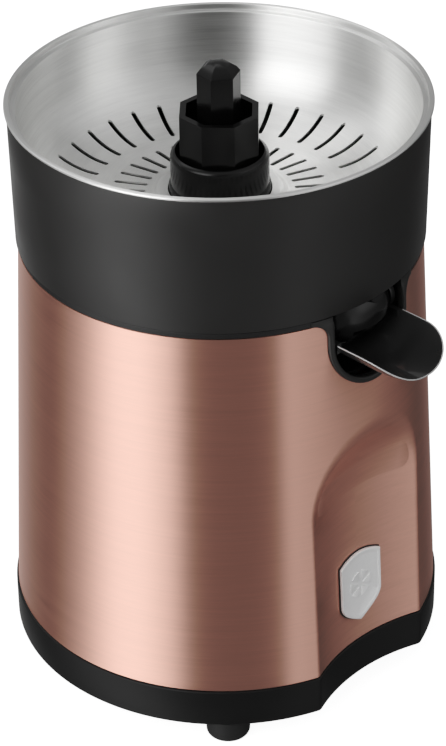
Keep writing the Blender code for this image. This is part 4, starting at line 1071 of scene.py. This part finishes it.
def build_world():
    """Studio light by direction: soft boxes on the left and in front, a dim ceiling and a box behind.

    The lights show to everything but the camera, which sees a plain pale backdrop.
    """
    world = bpy.data.worlds.new("studio")
    world.use_nodes = True
    bpy.context.scene.world = world
    tree = world.node_tree
    tree.nodes.clear()
    new, join_up = tree.nodes.new, tree.links.new

    def calculate(operation, first, second):
        node = new("ShaderNodeMath")
        node.operation = operation
        for socket, value in zip(node.inputs, (first, second)):
            if isinstance(value, bpy.types.NodeSocket):
                join_up(value, socket)
            else:
                socket.default_value = value
        return node.outputs[0]

    def by_angle(stops, peak=1.0):
        ramp = ramp_of(tree, [((degrees + 180) / 360, value / peak) for degrees, value in stops])
        join_up(share, ramp.inputs[0])
        return ramp.outputs[0]

    def by_height(stops):
        ramp = ramp_of(tree, [((z + 1) / 2, value) for z, value in stops])
        join_up(lift, ramp.inputs[0])
        return ramp.outputs[0]

    parts = new("ShaderNodeSeparateXYZ")
    join_up(new("ShaderNodeTexCoord").outputs["Generated"], parts.inputs[0])
    turn = calculate("ARCTAN2", parts.outputs[0], calculate("MULTIPLY", parts.outputs[1], -1.0))
    share = calculate("ADD", calculate("DIVIDE", turn, 2 * math.pi), 0.5)
    lift = calculate("ADD", calculate("MULTIPLY", parts.outputs[2], 0.5), 0.5)
    above = by_height(HIGH_SHARE)
    low = calculate("MULTIPLY", by_angle(LOW_ROUND, KEY_PEAK), calculate("SUBTRACT", 1.0, above))
    around = calculate("ADD", low, calculate("MULTIPLY", by_angle(HIGH_ROUND, KEY_PEAK), above))
    sides = calculate("MULTIPLY", calculate("MULTIPLY", around, KEY_PEAK), by_height(LOW_LIGHT))
    ceiling = by_height(CEILING_SHARE)
    walls = calculate("MULTIPLY", sides, calculate("SUBTRACT", 1.0, ceiling))
    total = calculate("ADD", walls, calculate("MULTIPLY", ceiling, CEILING_LIGHT))
    top_box = calculate("MULTIPLY", by_angle(TOP_BOX_ROUND), by_height(TOP_BOX_HEIGHT))
    total = calculate("ADD", total, calculate("MULTIPLY", top_box, TOP_BOX_LIGHT))
    studio = new("ShaderNodeBackground")
    join_up(total, studio.inputs["Strength"])
    backdrop = new("ShaderNodeBackground")
    pick = new("ShaderNodeMixShader")
    join_up(new("ShaderNodeLightPath").outputs["Is Camera Ray"], pick.inputs[0])
    join_up(studio.outputs[0], pick.inputs[1])
    join_up(backdrop.outputs[0], pick.inputs[2])
    join_up(pick.outputs[0], new("ShaderNodeOutputWorld").inputs[0])
    backdrop.inputs["Strength"].default_value = 1.0


def build_floor():
    """A plain pale floor: seen by the camera, faintly shaded by the body, clear to other light."""
    bm = bmesh.new()
    bmesh.ops.create_grid(bm, x_segments=1, y_segments=1, size=FLOOR_HALF_SIZE)
    mesh = bpy.data.meshes.new("floor")
    bm.to_mesh(mesh)
    bm.free()
    floor = link("floor", mesh)
    made = bpy.data.materials.new("pale_floor")
    made.use_nodes = True
    tree = made.node_tree
    tree.nodes.clear()
    new, join_up = tree.nodes.new, tree.links.new
    seen = new("ShaderNodeEmission")
    seen.inputs["Strength"].default_value = FLOOR_GLOW
    lit = new("ShaderNodeBsdfDiffuse")
    lit.inputs["Color"].default_value = (FLOOR_GREY, FLOOR_GREY, FLOOR_GREY, 1.0)
    both = new("ShaderNodeAddShader")
    join_up(seen.outputs[0], both.inputs[0])
    join_up(lit.outputs[0], both.inputs[1])
    pick = new("ShaderNodeMixShader")
    join_up(new("ShaderNodeLightPath").outputs["Is Camera Ray"], pick.inputs[0])
    join_up(new("ShaderNodeBsdfTransparent").outputs[0], pick.inputs[1])
    join_up(both.outputs[0], pick.inputs[2])
    join_up(pick.outputs[0], new("ShaderNodeOutputMaterial").inputs[0])
    mesh.materials.append(made)


def set_film():
    """A film-like tone curve: lifted middle greys and a soft shoulder, undone from sRGB to linear light."""
    settings = bpy.context.scene.view_settings
    settings.view_transform = "Standard"
    settings.use_curve_mapping = True
    mapping = settings.curve_mapping
    points = mapping.curves[3].points
    for light in FILM_LIGHTS:
        shown = 1.0 + FILM_SLOPE * math.log(light)
        points.new(light, ((shown + 0.055) / 1.055) ** 2.4)
    mapping.update()


def build_camera():
    """The camera at the photograph's angle."""
    data = bpy.data.cameras.new("camera")
    data.lens = CAMERA_LENS
    data.sensor_width = CAMERA_SENSOR
    camera = bpy.data.objects.new("camera", data)
    bpy.context.scene.collection.objects.link(camera)
    turn = Matrix.Rotation(math.radians(CAMERA_TURN), 4, "Z")
    tilt = Matrix.Rotation(math.radians(CAMERA_TILT), 4, "X")
    roll = Matrix.Rotation(math.radians(CAMERA_ROLL), 4, "Z")
    place = Matrix.Translation(AXIS + Vector(CAMERA_PLACE))
    camera.matrix_world = place @ turn @ tilt @ roll
    bpy.context.scene.camera = camera


dress_cad_nodes()
build_skin()
build_base_ring()
build_feet()
build_deck()
build_bezel()
build_badge()
build_collector()
build_nozzle()
build_spout()
build_painted_highlight_bead()
build_bowl()
build_spindle()
build_spring()
build_world()
build_floor()
build_camera()
set_film()
